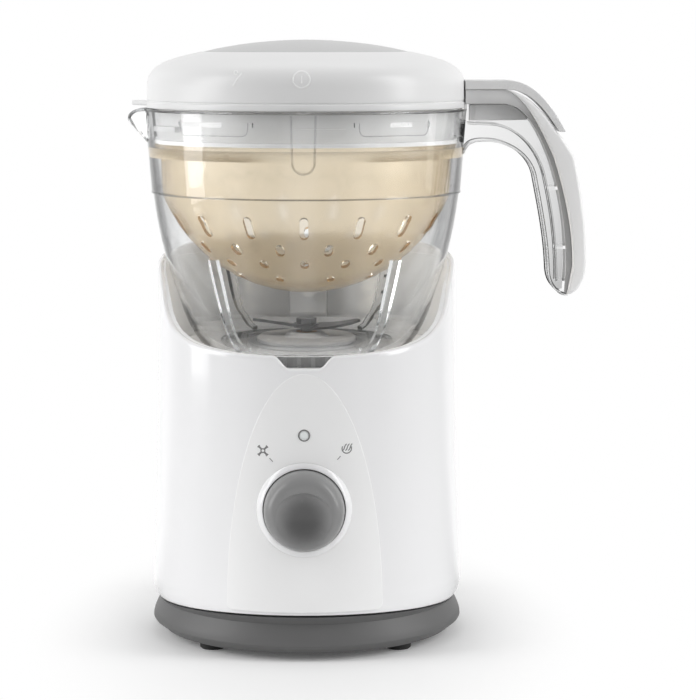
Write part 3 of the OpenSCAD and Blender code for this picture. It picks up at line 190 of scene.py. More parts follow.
# the same for rays through clear plastic: where the grey starts, the black starts and both end
clear_flank, flank_shift = ((0.06, 0.17), (0.16, 0.27), (0.55, 0.75)), 0.05
clear_grey, clear_black = 0.26, 0.72
table_mesh = bpy.data.meshes.new("table")
corners = [(x * table_reach_m, y * table_reach_m, 0) for x, y in ((-1, -1), (1, -1), (1, 1), (-1, 1))]
table_mesh.from_pydata(corners, [], [(0, 1, 2, 3)])
table = bpy.data.objects.new("table", table_mesh)
scene.collection.objects.link(table)
paint = Paint(bpy.data.materials.new("white_table"))
straight, mirrored, through = paint.ways()
spread = paint.length(paint.place())
sideways = paint.axis("X")
flank = sideways.maths("ABSOLUTE", sideways / spread + flank_shift)
grey, black, far = (flank.ramp(*limits) for limits in clear_flank)
bands = clear_grey * (grey - far) + clear_black * (black - far)
white_level = 1 - table_mirror_drop * flank.ramp(*mirror_flank) * mirrored - bands * through
seen = straight + mirrored + through
far_off = paint.length(paint.scaled((side_stretch, 1, 1))).ramp(fade_start_m, fade_end_m)
sheet = paint.mix(spread.ramp(dim_start_m, dim_end_m) * (1 - seen), near_tone, far_tone)
matt = paint.node("ShaderNodeBsdfDiffuse", {}, {"Color": sheet})
fill = paint.node("ShaderNodeEmission", {}, {"Color": (1, 1, 1, 1), "Strength": table_fill * seen})
near = paint.node("ShaderNodeAddShader", {}, {0: matt, 1: fill})
white = paint.node("ShaderNodeEmission", {}, {"Color": (1, 1, 1, 1), "Strength": white_level})
whole = paint.node("ShaderNodeMixShader", {}, {0: far_off * seen, 1: near, 2: white})
paint.node("ShaderNodeOutputMaterial", {}, {"Surface": whole})
table_mesh.materials.append(paint.owner)
table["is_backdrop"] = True

# the room's light on the object, and what it gains towards the sides
room_light, room_sides = 0.33, 0.48
# how light the room is to mirrored rays in front of the machine, and where it turns white
room_front, room_turn = 0.30, (-0.35, 0.25)
world = bpy.data.worlds.new("room")
scene.world = world
paint = Paint(world)
straight, mirrored, through = paint.ways()
front_back = paint.axis("Y", "Generated")
sideways = paint.axis("X", "Generated")
flank = sideways.maths("ABSOLUTE", sideways)
back_level = front_back.ramp(*room_turn) * (1 - room_mirror_drop * flank.ramp(*mirror_flank))
in_mirror = room_front + (1 - room_front) * back_level
bent = sideways.maths("ABSOLUTE", sideways + flank_shift)
grey, black, far = (bent.ramp(*limits) for limits in clear_flank)
in_glass = 1 - clear_grey * (grey - far) - clear_black * (black - far)
on_object = room_light + room_sides * flank * flank
unseen = 1 - straight - mirrored - through
brightness = straight + mirrored * in_mirror + through * in_glass + unseen * on_object
sky = paint.node("ShaderNodeBackground", {}, {"Color": (1, 1, 1, 1), "Strength": brightness})
paint.node("ShaderNodeOutputWorld", {}, {"Surface": sky})

# name: place in metres, aim, size in metres, watts
lamps = {
    "left_softbox": ((-1.5, -0.50, 0.80), (0, 0, 0.18), (0.6, 1.5), 13.2),
    "right_softbox": ((1.5, -0.45, 0.80), (0, 0, 0.15), (0.6, 1.5), 15.0),
    "back_softbox": ((0.0, 0.60, 1.60), (0, 0, 0.1), (1.1, 0.9), 2.0),
    "left_strip": ((-0.75, -0.07, 0.18), (-0.05, -0.05, 0.18), (0.24, 0.24), 0.62),
    "right_strip": ((0.78, 0.12, 0.21), (0, 0, 0.21), (0.10, 0.19), 0.06),
}
for name, (place, aim, size, watts) in lamps.items():
    lamp = bpy.data.lights.new(name, "AREA")
    lamp.shape, lamp.size, lamp.size_y, lamp.energy = "RECTANGLE", size[0], size[1], watts
    holder = bpy.data.objects.new(name, lamp)
    scene.collection.objects.link(holder)
    holder.location = place
    away = holder.location - type(holder.location)(aim)
    holder.rotation_euler = away.to_track_quat("Z", "Y").to_euler()

# ---------- base ring, feet, gland and screws ----------
# The bottom of the machine is one dark satin moulding, screwed up into the housing. Four rubber
# feet are pressed into it, and a rubber gland at the back is where the cord comes out.


def times(colour, factor, lift=0.0):
    """A lighter or darker version of a colour."""
    return tuple(min(1, c * factor + lift) for c in colour[:3]) + (1,)


def finished(paint, surface):
    """The material that a paint's nodes make, from what its surface takes."""
    shader = paint.node("ShaderNodeBsdfPrincipled", {}, surface)
    paint.node("ShaderNodeOutputMaterial", {}, {"Surface": shader})
    return paint.owner


def plastic(name, colour, roughness, cloud=0.03, grain=0.35, bump=0.03, coat=0.0, wear=0.0):
    """Moulded plastic: slight cloudiness, a grained skin and, with wear, paler edges."""
    paint = Paint(bpy.data.materials.new(name))
    clouds = paint.noise(28, detail=3)
    specks = paint.noise(grain, detail=3, roughness=0.6)
    skin = paint.mix(clouds, times(colour, 1 - cloud), times(colour, 1 + cloud))
    if wear:
        edge = paint.node("ShaderNodeNewGeometry", {}, {}, "Pointiness").ramp(0.52, 0.62)
        skin = paint.mix(edge * wear * paint.noise(6, detail=3), skin, times(colour, 1.35, lift=0.02))
    rough = roughness + 0.10 * (clouds - 0.5) + 0.08 * (specks - 0.5)
    normal = paint.node("ShaderNodeBump", {}, {"Strength": 1.0, "Distance": bump / 1000, "Height": specks})
    return finished(paint, {"Base Color": skin, "Roughness": rough, "Normal": normal, "Coat Weight": coat})


def metal(name, colour, roughness, line=(1, 1, 1), grain=0.5, bump=0.01):
    """Bare metal with a drawn or cast grain."""
    paint = Paint(bpy.data.materials.new(name))
    clouds = paint.noise(14, detail=3)
    lines = paint.noise(grain, detail=3, roughness=0.6, stretch=line)
    skin = paint.mix(0.5 * clouds + 0.5 * lines, times(colour, 0.88), colour)
    rough = roughness + 0.12 * (clouds - 0.5) + 0.10 * (lines - 0.5)
    normal = paint.node("ShaderNodeBump", {}, {"Distance": bump / 1000, "Height": lines})
    return finished(paint, {"Base Color": skin, "Metallic": 1.0, "Roughness": rough, "Normal": normal})


def coat_solids(material, *names):
    """Gives CAD nodes that stay in sight a finish."""
    for name in names:
        for slot in solids[name].material_slots:
            slot.material = material


def shape(name, points, faces, body, slot, material, sharp=40):
    """A piece from points in millimetres, in place, riding on a body."""
    mesh = bpy.data.meshes.new(name)
    mesh.from_pydata([tuple(c / 1000 for c in p) for p in points], [], faces)
    return piece_of(mesh, name, body, material, sharp)


def piece_of(mesh, name, body, material, sharp):
    """A piece from a mesh. Edges that turn by more than the sharp angle keep their crease."""
    work = bmesh.new()
    work.from_mesh(mesh)
    bmesh.ops.remove_doubles(work, verts=work.verts, dist=1e-6)
    bmesh.ops.recalc_face_normals(work, faces=work.faces)
    work.to_mesh(mesh)
    work.free()
    mesh.materials.append(material)
    mesh.polygons.foreach_set("use_smooth", [True] * len(mesh.polygons))
    mesh.set_sharp_from_angle(angle=math.radians(sharp))
    piece = bpy.data.objects.new(name, mesh)
    scene.collection.objects.link(piece)
    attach(piece, body)
    return piece


def grid(rows, closed=True):
    """Points and faces of a grid of rows; closed joins the last column to the first."""
    rows = np.asarray(rows, float)
    count, width = rows.shape[:2]
    faces = []
    for i in range(count - 1):
        for j in range(width if closed else width - 1):
            k = (j + 1) % width
            faces.append((i * width + j, i * width + k, (i + 1) * width + k, (i + 1) * width + j))
    return rows.reshape(-1, 3).tolist(), faces


def curve(a, b, c, d, count=8):
    """Points of a cubic curve from a to d, pulled towards b and c."""
    t = np.linspace(0, 1, count + 1)[:, None]
    a, b, c, d = (np.array(p, float) for p in (a, b, c, d))
    points = a * (1 - t) ** 3 + 3 * b * (1 - t) ** 2 * t + 3 * c * (1 - t) * t**2 + d * t**3
    return points.tolist()


def rounded(corners, steps=5):
    """An outline whose corners, each (a, b, radius), are rounded where the radius isn't 0."""
    outline = []
    for i, (a, b, radius) in enumerate(corners):
        point = np.array((a, b), float)
        if radius == 0 or i in (0, len(corners) - 1):
            outline.append(point.tolist())
            continue
        before = np.array(corners[i - 1][:2], float) - point
        after = np.array(corners[i + 1][:2], float) - point
        reach = min(radius, 0.49 * np.linalg.norm(before), 0.49 * np.linalg.norm(after))
        start = point + before / np.linalg.norm(before) * reach
        end = point + after / np.linalg.norm(after) * reach
        middle_1, middle_2 = start + (point - start) * 0.55, end + (point - end) * 0.55
        outline += curve(start, middle_1, middle_2, end, steps)
    return outline


def lathe(name, profile, body, slot, material, steps=192, sharp=40):
    """A turned piece from its profile of (radius, height) points."""
    turn = np.linspace(0, 2 * math.pi, steps, endpoint=False)
    rows = [[(r * math.cos(a), r * math.sin(a), z) for a in turn] for r, z in profile]
    return shape(name, *grid(rows), body, slot, material, sharp)


def dress(name, node, body, material, sharp):
    """A copy of a CAD solid with its seams welded and its curves shaded as one. The joins inside flat
    faces are taken out of the slanting ones only: level rings have to keep theirs."""
    source = solids[node].data
    mesh = bpy.data.meshes.new(name)
    mesh.from_pydata([v.co[:] for v in source.vertices], [], [p.vertices[:] for p in source.polygons])
    work = bmesh.new()
    work.from_mesh(mesh)
    bmesh.ops.remove_doubles(work, verts=work.verts, dist=2e-6)
    tilted = [e for e in work.edges if all(abs(f.normal.z) < 0.999 for f in e.link_faces)]
    bmesh.ops.dissolve_limit(work, angle_limit=math.radians(0.5), verts=[], edges=tilted)
    work.to_mesh(mesh)
    work.free()
    piece = piece_of(mesh, name, body, material, sharp)
    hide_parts(node)
    return piece


dark_satin = plastic("dark_satin_plastic", tone(97), 0.50, grain=0.5, bump=0.02, wear=0.25)
black_rubber = plastic("black_rubber", tone(38), 0.75, grain=0.8, bump=0.05)
drawn_steel = metal("drawn_steel", tone(200), 0.28, line=(1, 1, 8))

dress("base_ring", "base_cover", "base", dark_satin, sharp=24)
coat_solids(black_rubber, "rubber_feet", "cord_gland")
coat_solids(drawn_steel, "base_screws")

# ---------- motor, switch gear and boiler ----------
# What stands inside the housing: a universal motor on rubber mounts with a steel shaft and copper
# windings, the rotary switch and lamp board, and a steel boiler with its cast heating plate. Small
# fittings elsewhere that share these finishes, such as screws and seals, get them here too.


def coat_slot(material, slot):
    """Gives every CAD node of a material slot that isn't replaced a finish."""
    names = [s["node"] for s in frame["record"]["subparts"] if s["material_slot"] == slot]
    coat_solids(material, *names)


coat_slot(drawn_steel, "steel")
laminations = metal("stacked_laminations", tone(150), 0.38, line=(1, 1, 14), grain=0.6, bump=0.03)
coat_slot(laminations, "laminations")
coat_slot(metal("wound_copper", tone(198, 118, 72), 0.32, line=(1, 1, 6), grain=0.7, bump=0.06), "copper")
coat_slot(metal("sintered_bronze", tone(176, 134, 82), 0.42, grain=0.3, bump=0.01), "bronze")
coat_slot(metal("cast_aluminium", tone(168), 0.5, grain=0.9, bump=0.05), "cast_plate")
coat_slot(plastic("green_circuit_board", tone(32, 96, 62), 0.35, grain=0.6), "board_green")
coat_slot(plastic("brown_brush_holder", tone(92, 62, 42), 0.5), "brush_brown")
coat_slot(plastic("orange_plunger", tone(226, 116, 40), 0.38), "signal_orange")
coat_slot(plastic("translucent_silicone", tone(236), 0.45, bump=0.01), "silicone")
coat_slot(dark_satin, "dark_grey")
coat_slot(black_rubber, "rubber_black")
coat_slot(plastic("mid_grey_plastic", tone(150), 0.38, wear=0.2), "mid_grey")
coat_slot(plastic("light_grey_plastic", tone(213), 0.34, wear=0.15), "light_grey")

# ---------- well and steam duct ----------
# The pale tray that the jug drops into, moulded in satin plastic and held by four screws. It shows
# through the jug, and the flat duct that brings the steam stands up its back wall.

coat_slot(plastic("pale_well_plastic", tone(241, 242, 243), 0.36, grain=0.4, wear=0.1), "liner_grey")
coat_solids(plastic("pale_duct_plastic", tone(250), 0.40, grain=0.4), "steam_duct")

# ---------- housing ----------
# A glossy white shell, moulded in one piece. Its lip dips in front and sweeps up the sides, and a
# notch in the front lets the ribbed collar show.

white_gloss = plastic(
    "white_gloss_plastic", tone(243, 243, 244), 0.16, cloud=0.006, grain=1.6, bump=0.004, coat=0.35
)
flare_top_z, flare_foot_z = 201.0, 24.5
top_radius, flare, flare_power = 76.0, 4.1, 2.2


def wall_radius(z):
    """Outside radius of the housing at a height: it flares towards its foot."""
    fall = np.clip((flare_top_z - np.asarray(z, float)) / (flare_top_z - flare_foot_z), 0, None)
    return top_radius + flare * fall**flare_power


def smooth(share):
    """A soft step from 0 to 1."""
    return share * share * (3 - 2 * share)


# the lip from the side, as (y, z)
lip_side = np.array(
    curve((-90, 150.7), (-52, 152), (-32, 159), (-24, 175), 60)
    + curve((-24, 175), (-14, 195), (20, 197), (90, 201), 60)[1:]
)
lip_round, lip_depth = 1.45, 7.0
notch_depth, notch_foot_x, notch_top_x = 6.0, 7.4, 15.4
# round the wall, finer in front where the notch is
turn = np.r_[np.arange(-90, 270, 1.0), np.arange(-102, -78, 0.25)] % 360
turn = np.radians(np.unique(np.round(turn, 3)))
# the wall's radius at the lip depends on the lip's own height, so the two are settled in steps
lip = np.full(turn.shape, 175.0)
for _ in range(40):
    lip = 0.5 * lip + 0.5 * np.interp(wall_radius(lip) * np.sin(turn), lip_side[:, 0], lip_side[:, 1])
across = np.abs(wall_radius(lip) * np.cos(turn))
notch_share = 1 - np.clip((across - notch_foot_x) / (notch_top_x - notch_foot_x), 0, 1)
lip = lip - notch_depth * smooth(notch_share) * (np.sin(turn) < 0)

# the joint with the base ring from the side, as (y, z): it rises to the front
joint_back_z, joint_radius, joint_inside = 19, 79, 73.6
joint_side = np.array(
    curve((-80, 23.6), (-59.3, 22.5), (-30.4, 19.3), (0, joint_back_z), 40) + [[90, joint_back_z]]
)
joint = np.interp(joint_radius * np.sin(turn), joint_side[:, 0], joint_side[:, 1])
foot_top_z, foot_chamfer = 30, 0.5
foot = rounded([(73.0, 14.0, 0), (79.6, 24.0, 3.0), (float(wall_radius(foot_top_z)), foot_top_z, 0)], 8)
foot = np.array(foot)
foot_steps = np.r_[0, 0.35, np.linspace(1.0, foot_top_z - joint_back_z, 12)]
rows = [[(joint_inside, z) for z in joint]]
for step in foot_steps:
    heights = np.minimum(joint + step, joint + step / foot_steps[-1] * (foot_top_z - joint))
    inset = foot_chamfer * (step == 0)
    rows.append([(np.interp(z, foot[:, 1], foot[:, 0]) - inset, z) for z in heights])
for step in np.linspace(0, 1, 70)[1:]:
    heights = foot_top_z + (lip - lip_round - foot_top_z) * step
    rows.append(list(zip(wall_radius(heights), heights)))
for bend in np.linspace(0, math.pi, 9)[1:]:
    out, up = lip_round * (math.cos(bend) - 1), lip_round * math.sin(bend)
    rows.append([(wall_radius(z) + out, z - lip_round + up) for z in lip])
rows.append([(r, z - lip_depth) for r, z in rows[-1]])
rows = [[(r * math.cos(a), r * math.sin(a), z) for (r, z), a in zip(row, turn)] for row in rows]
points, faces = grid(rows)
knob_z, knob_hole, pilot_z, pilot_hole = 76.0, 25.6, 112.8, 2.4


def in_front_hole(point):
    """Whether a point lies in the holes for the knob or the lamp."""
    x, y, z = point
    near_knob = math.hypot(x, z - knob_z) < knob_hole
    return y < 0 and (near_knob or math.hypot(x, z - pilot_z) < pilot_hole)


faces = [f for f in faces if not any(in_front_hole(points[i]) for i in f)]
housing = shape("housing_shell", points, faces, "base", "white_shell", white_gloss)
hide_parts("main_housing")

# ---------- front panel ----------
# A tall arch of satin white plastic, let into the shell and standing a hair proud of it. It dips in
# a soft cone round the knob. Under its crown and its lamp it is bare.

white_satin = plastic("white_satin_plastic", tone(247), 0.30, cloud=0.006, grain=0.7, bump=0.006, coat=0.1)
arch_half, arch_foot_z, arch_spring_z, arch_crown_z = 38.5, 25.2, 27, 143.0
arch_corner, foot_half = 3.0, 34
panel_proud, panel_edge, panel_sink = 0.16, 0.4, 0.45
cone_in, cone_out, seat_y = 21.3, 23.3, -75.02

# half an ellipse over a straight foot with rounded corners, as (x, z)
arch_rise = arch_crown_z - arch_spring_z
half_turn = np.linspace(0, math.pi, 361)
arch = [(arch_half * math.cos(t), arch_spring_z + arch_rise * math.sin(t)) for t in half_turn]
arch = [(x, z) for x, z in arch if z > arch_foot_z + arch_corner + 0.1]
foot_corner = [(-arch_half, 60, 0), (-arch_half, arch_foot_z, arch_corner), (0, arch_foot_z, 0)]
foot_corner = rounded(foot_corner, 12)[1:-1]
arch += foot_corner + [(x, arch_foot_z) for x in np.linspace(-foot_half, foot_half, 137)]
arch += [(-x, z) for x, z in reversed(foot_corner)]
arch = np.array(arch)
reach = np.hypot(arch[:, 0], arch[:, 1] - knob_z)
heading = np.array([arch[:, 0], arch[:, 1] - knob_z]).T / reach[:, None]


def on_front(x, z, out):
    """A point on the front of the housing, out in front of its skin."""
    return (x, -math.sqrt((float(wall_radius(z)) + out) ** 2 - x * x), z)


rows = []
for radius in np.linspace(cone_in, cone_out, 7)[:-1]:
    fall = smooth(np.clip((cone_out - radius) / (cone_out - cone_in), 0, 1))
    ring = [on_front(radius * h[0], knob_z + radius * h[1], panel_proud) for h in heading]
    rows.append([(x, y + (seat_y - y) * fall, z) for x, y, z in ring])
for step in np.linspace(0, 1, 60):
    rows.append([
        on_front(h[0] * s, knob_z + h[1] * s, panel_proud)
        for h, s in zip(heading, cone_out + (reach - panel_edge - cone_out) * step)
    ])
for bend in np.linspace(0, math.pi / 2, 5)[1:]:
    inward, sink = panel_edge * (1 - math.sin(bend)), panel_sink * (1 - math.cos(bend))
    rows.append([
        on_front(h[0] * (s - inward), knob_z + h[1] * (s - inward), panel_proud - sink)
        for h, s in zip(heading, reach)
    ])
points, faces = grid(rows)
above_knob_z = knob_z + 30
faces = [f for f in faces if not all(in_front_hole(points[i]) and points[i][2] > above_knob_z for i in f)]
panel = shape("front_panel_skin", points, faces, "base", "panel_white", white_satin)
# outside the cone the panel is shaded by the wall's own slope, so that it mirrors as the shell does
leans = []
for spot, normal in zip(panel.data.vertices, panel.data.vertex_normals):
    x, y, z = spot.co * 1000
    wall = float(wall_radius(z))
    on_skin = abs(math.hypot(x, y) - wall - panel_proud) < 0.01
    flush = on_skin and math.hypot(x, z - knob_z) > cone_out + 0.3
    slope = float(wall_radius(z + 1) - wall_radius(z - 1)) / 2
    leans.append((x / wall, y / wall, -slope) if flush else tuple(normal.vector))
panel.data.normals_split_custom_set_from_vertices(leans)
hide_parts("front_panel")

# ---------- signs ----------
# A mixing sign and a steam sign, printed in grey on the panel on each side of the knob, each with
# the short line that the knob is turned to.

grey_print = plastic("grey_print", tone(128), 0.5, bump=0.002)
print_out, print_height = panel_proud + 0.02, 0.03


def unit(vectors):
    """The same directions, each one long."""
    return vectors / np.linalg.norm(vectors, axis=1)[:, None]


def bead(path, width, height, lay, closed=False):
    """Points and faces of a low rounded line along (x, z) points, laid on a surface."""
    path = np.array(path, float)
    ahead = np.roll(path, -1, 0) - path
    behind = path - np.roll(path, 1, 0)
    if not closed:
        ahead[-1], behind[0] = behind[-1], ahead[0]
    along = unit(unit(ahead) + unit(behind))
    side = np.array([-along[:, 1], along[:, 0]]).T * width / 2
    section = [(1, 0), (0.8, 0.6), (0.4, 0.92), (0, 1), (-0.4, 0.92), (-0.8, 0.6), (-1, 0)]
    rows = [[lay(*p, height * up) for p in path + side * wide] for wide, up in section]
    return grid(rows, closed)


def loop(x, z, radius, start=0, end=360, count=24):
    """Points of a round line from one angle to another."""
    angles = np.radians(np.linspace(start, end, count + 1))
    return [(x + radius * math.cos(a), z + radius * math.sin(a)) for a in angles]


def sign(name, lines, height, lay, body, slot, material):
    """One sign from several lines of (path, width, closed). A closed path ends where it starts."""
    points, faces = [], []
    for path, width, closed in lines:
        more, joined = bead(path[:-1] if closed else path, width, height, lay, closed)
        faces += [tuple(i + len(points) for i in f) for f in joined]
        points += more
    return shape(name, points, faces, body, slot, material)


def on_panel(x, z, up):
    """A point on the panel, raised a little."""
    return on_front(x, z, print_out + up)


def printed(name, lines):
    """A sign printed on the panel."""
    return sign(name, lines, print_height, on_panel, "base", "mid_grey", grey_print)


mixing_x, mixing_z, arm_start, arm_end, tip_half = -20.2, 105.0, 1.2, 2.9, 0.7
rosette = [(loop(mixing_x, mixing_z, 0.95), 0.6, True)]
for quarter in (45, 135, 225, 315):
    a = math.radians(quarter)
    out_x, out_z = math.cos(a), math.sin(a)
    arm = [(mixing_x + r * out_x, mixing_z + r * out_z) for r in (arm_start, arm_end)]
    rosette.append((arm, 0.95, False))
    tip_x, tip_z = arm[1]
    rosette.append(([(tip_x + s * out_z, tip_z - s * out_x) for s in (-tip_half, tip_half)], 0.7, False))
printed("mixing_sign", rosette)
steam_x, steam_z = 20.8, 106.0
bowl_line = loop(steam_x, steam_z, 2.3, 150, 395)
wisp = curve((-1.1, -1.0), (0.3, 0.1), (-0.5, 1.1), (0.9, 2.3), 10)
wisps = [[(steam_x + shift + x, steam_z + z) for x, z in wisp] for shift in (-1.0, 0.4, 1.8)]
printed("steam_sign", [(bowl_line, 0.55, False)] + [(line, 0.5, False) for line in wisps])
printed("mixing_tick", [([(-16.9, 101.4), (-15.3, 99.7)], 0.4, False)])
printed("steam_tick", [([(17.8, 102.4), (16.2, 100.7)], 0.4, False)])

# ---------- knob, its bezel and the lamp ----------
# A white ring is pressed into the dip of the panel and the grey soft-touch knob turns inside it,
# with a thumb dish and a raised pip over it. The lamp above is a small milky lens in a grey ring.


def turns(steps):
    """Evenly spaced angles of a full turn."""
    return np.linspace(0, 2 * math.pi, steps, endpoint=False)


def front_rings(profile, x, z, steps):
    """Rings round an axis that points out of the front, from (radius, y) points."""
    return [[(x + r * math.cos(a), y, z + r * math.sin(a)) for a in turns(steps)] for r, y in profile]


bezel_in, bezel_out, bezel_front_y, bezel_proud, bezel_lap = 20.3, 23.4, -78.1, 0.55, 0.05
# share of the way out from the inner edge, and how far behind the ring's crowned front
bezel_section = [(0, 6.0), (0, 0.5), (0.03, 0.12)]
bezel_section += [(share, 0) for share in (0.12, 0.3, 0.5, 0.7, 0.86)]
bezel_section += [(0.97, 0.1), (1.0, 0.4), (1.0, 2.0)]
rows = []
for share, back in bezel_section:
    radius = bezel_in + (bezel_out - bezel_in) * share
    row = []
    for a in turns(128):
        x, up = radius * math.cos(a), radius * math.sin(a)
        edge_y = on_front(x * bezel_out / radius, knob_z + up * bezel_out / radius, panel_proud)[1]
        crest_y = min(bezel_front_y, edge_y - bezel_proud)
        row.append((x, crest_y + (edge_y + bezel_lap - crest_y) * share**1.6 + back, knob_z + up))
    rows.append(row)
bezel = shape("knob_bezel_ring", *grid(rows), "base", "white_shell", white_gloss)
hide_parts("knob_bezel")

knob_radius, knob_back_y, knob_front_y, knob_flat = 19.9, -75.6, -90.1, 12.5
shoulder_y, dish_drop, dish_edge, dish_depth = -80, 3.6, 14.2, 4.6
pip_z, pip_half_width, pip_half_length, pip_height = 6.4, 0.9, 2.0, 0.5


def painted_light_plastic(name, measure, limits_m, tones, sway_m, clouds, roughness, swing, bump):
    """Moulded plastic that changes tone where a measure passes its limits, swayed by clouds: a way to paint
    light and shade into its colour.
    """
    paint = Paint(bpy.data.materials.new(name))
    specks = paint.noise(0.5, detail=3, roughness=0.6)
    past = (measure(paint) + sway_m * (paint.noise(*clouds) - 0.5)).ramp(*limits_m)
    skin = paint.mix(past, *tones)
    rough = roughness + swing * (specks - 0.5)
    normal = paint.node("ShaderNodeBump", {}, {"Strength": 1.0, "Distance": bump / 1000, "Height": specks})
    return finished(paint, {"Base Color": skin, "Roughness": rough, "Normal": normal})


def from_dish(paint):
    """Distance from the middle of the knob's dish."""
    middle = (0, knob_front_y / 1000, (knob_z - dish_drop) / 1000)
    sockets = {0: paint.place(), 1: middle}
    return paint.node("ShaderNodeVectorMath", {"operation": "DISTANCE"}, sockets, "Value")


# the knob is painted darker round the middle of its thumb dish than on its shoulders: painted shade
knob_painted_dish_shade = painted_light_plastic(
    "soft_grey_knob_painted_dish_shade", from_dish, (0.006, 0.0155), (tone(97), tone(138)), 0.002, (7, 3), 0.34, 0.06, 0.012
)
knob_side = [(knob_radius - 0.3, knob_back_y), (knob_radius, -76.4)] + curve(
    (knob_radius, -79), (knob_radius - 0.2, -86.6), (17.6, knob_front_y), (knob_flat, knob_front_y), 28
)
knob_side += [(r, knob_front_y) for r in np.linspace(knob_flat - 0.2, 0.05, 90)]
rows = np.array(front_rings(knob_side, 0, 0, 160))
x, y, z = np.moveaxis(rows, 2, 0)
away = np.hypot(x, z + dish_drop)
lean = (z + dish_drop) / dish_edge
hollow = np.clip(1 - (away / dish_edge) ** 2, 0, None) ** np.clip(1.15 - 0.65 * lean, 0.5, 1.8)
in_dish = (y < shoulder_y) & (away < dish_edge)
floor_y = knob_front_y + dish_depth * hollow * (1 + 0.25 * lean)
pip = np.exp(-((x / pip_half_width) ** 2)) * np.exp(-(((z - pip_z) / pip_half_length) ** 4))
y = np.where(in_dish, np.maximum(y, floor_y) - pip_height * pip, y)
points, faces = grid(np.stack([x, y, z + knob_z], 2))
knob = shape("selector_knob", points, faces, "knob", "knob_grey", knob_painted_dish_shade, sharp=50)
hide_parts("control_knob")

milky = plastic("milky_lens", tone(236, 240, 240), 0.22, bump=0.002, coat=0.4)
lens_radius, lens_front_y = 2.25, -77.45
lens_line = rounded([
    (lens_radius, -74.0, 0), (lens_radius, lens_front_y + 0.25, 0.5), (0.9, lens_front_y, 1.0),
    (0.01, lens_front_y, 0),
], 5)
lens_rings = front_rings(lens_line, 0, pilot_z, 48)
lens = shape("pilot_lens_dome", *grid(lens_rings), "base", "panel_white", milky)
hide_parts("pilot_lens")
ring_grey = plastic("lamp_ring_grey", tone(118), 0.32, grain=0.5, bump=0.012, cloud=0.02, wear=0.15)
ring_line = rounded([(2.3, -76.6, 0), (2.35, -77.34, 0.2), (2.95, -77.30, 0.2), (3.0, -76.7, 0)], 3)
shape("pilot_ring", *grid(front_rings(ring_line, 0, pilot_z, 48)), "base", "knob_grey", ring_grey)

# ---------- jug ----------
# The jug is one clear moulding: bowl, foot ring, ribs, lid ramps, pouring lip and the loop of the
# handle. Its rounded edges and the long edges of its index tongue, ramps and loop draw thin grey
# lines, so each has a fine bead of its own, tinted grey as painted shade for those lines.


def clear_plastic(name, colour, shadow, roughness, bump=0.01, index=1.49, haze=0.0, milk=(1, 1, 1, 1)):
    """See-through plastic that lets the lamps through. Haze mixes in a milky skin."""
    paint = Paint(bpy.data.materials.new(name))
    ripple = paint.noise(22, detail=2)
    scuffs = paint.noise(2.2, detail=4, roughness=0.6)
    normal = paint.node("ShaderNodeBump", {}, {"Distance": bump / 1000, "Height": ripple})
    rough = roughness + 0.03 * scuffs
    tint = paint.mix(ripple, colour, times(colour, 1.02))
    surface = {"Base Color": tint, "Roughness": rough, "Transmission Weight": 1.0, "IOR": index}
    glass = paint.node("ShaderNodeBsdfPrincipled", {}, {**surface, "Normal": normal})
    if haze:
        surface = {"Base Color": milk, "Roughness": 0.3, "Normal": normal}
        skin = paint.node("ShaderNodeBsdfPrincipled", {}, surface)
        glass = paint.node("ShaderNodeMixShader", {}, {0: haze + 0.06 * (ripple - 0.5), 1: glass, 2: skin})
    through = paint.node("ShaderNodeBsdfTransparent", {}, {"Color": shadow})
    shadow_ray = paint.node("ShaderNodeLightPath", {}, {}, "Is Shadow Ray")
    whole = paint.node("ShaderNodeMixShader", {}, {0: shadow_ray, 1: glass, 2: through})
    paint.node("ShaderNodeOutputMaterial", {}, {"Surface": whole})
    return paint.owner


def grey_light(level):
    """What share of the lamps' light comes through."""
    return (level, level, level, 1)


jug_colour = (0.955, 0.96, 0.962, 1)
wall_clear = clear_plastic("clear_jug_plastic", jug_colour, grey_light(0.99), 0.012, bump=0.004)
step_clear = clear_plastic("clear_jug_step", jug_colour, grey_light(0.99), 0.012, bump=0.004, index=1.04)
loop_colour = (0.962, 0.963, 0.963, 1)
loop_clear = clear_plastic("clear_loop_plastic", loop_colour, grey_light(0.96), 0.02, bump=0.006)
# the edge beads are clear plastic tinted grey: painted shade for the dark lines along clear edges
spout_edge_painted_shade = clear_plastic("clear_spout_edge", (0.55, 0.56, 0.57, 1), grey_light(0.93), 0.02)
rim_edge_painted_shade = clear_plastic("clear_rim_edge", (0.72, 0.725, 0.73, 1), grey_light(0.95), 0.02, index=1.2)
loop_edge_painted_shade = clear_plastic("clear_loop_edge", (0.92, 0.922, 0.922, 1), grey_light(0.97), 0.02, index=1.13)
index_edge_painted_shade = clear_plastic("clear_index_edge", (0.86, 0.865, 0.87, 1), grey_light(0.95), 0.02, index=1.16)
jug = dress("clear_jug", "jug_body", "jug", wall_clear, sharp=25)
jug.data.materials.append(step_clear)
jug.data.materials.append(loop_clear)
# the ledge that carries the basket, and where the loop starts
ledge_foot_z, ledge_top_z, ledge_out_r, loop_from_x = 245.3, 250.7, 78.2, 84.0
for face in jug.data.polygons:
    x, y, z = face.center * 1000
    if ledge_foot_z < z < ledge_top_z and math.hypot(x, y) < ledge_out_r:
        face.material_index = 1
    if x > loop_from_x:
        face.material_index = 2


def capped(rows):
    """Points and faces of a closed form from its rings, with a face over each end."""
    points, faces = grid(rows)
    size = len(rows[0])
    return points, faces + [tuple(range(size)), tuple(reversed(range(len(points) - size, len(points))))]


def jug_bead(name, path, radius, material):
    """A round bead along points in space, moulded on the jug."""
    path = np.array(path, float)
    along = unit(np.gradient(path, axis=0))
    out = unit(np.cross(along, (0.1, 0.05, 1.0)))
    up = np.cross(out, along)
    rows = [
        [p + radius * (o * math.cos(a) + u * math.sin(a)) for a in turns(12)]
        for p, o, u in zip(path, out, up)
    ]
    return shape(name, *capped(rows), "jug", "clear_jug", material, 60)


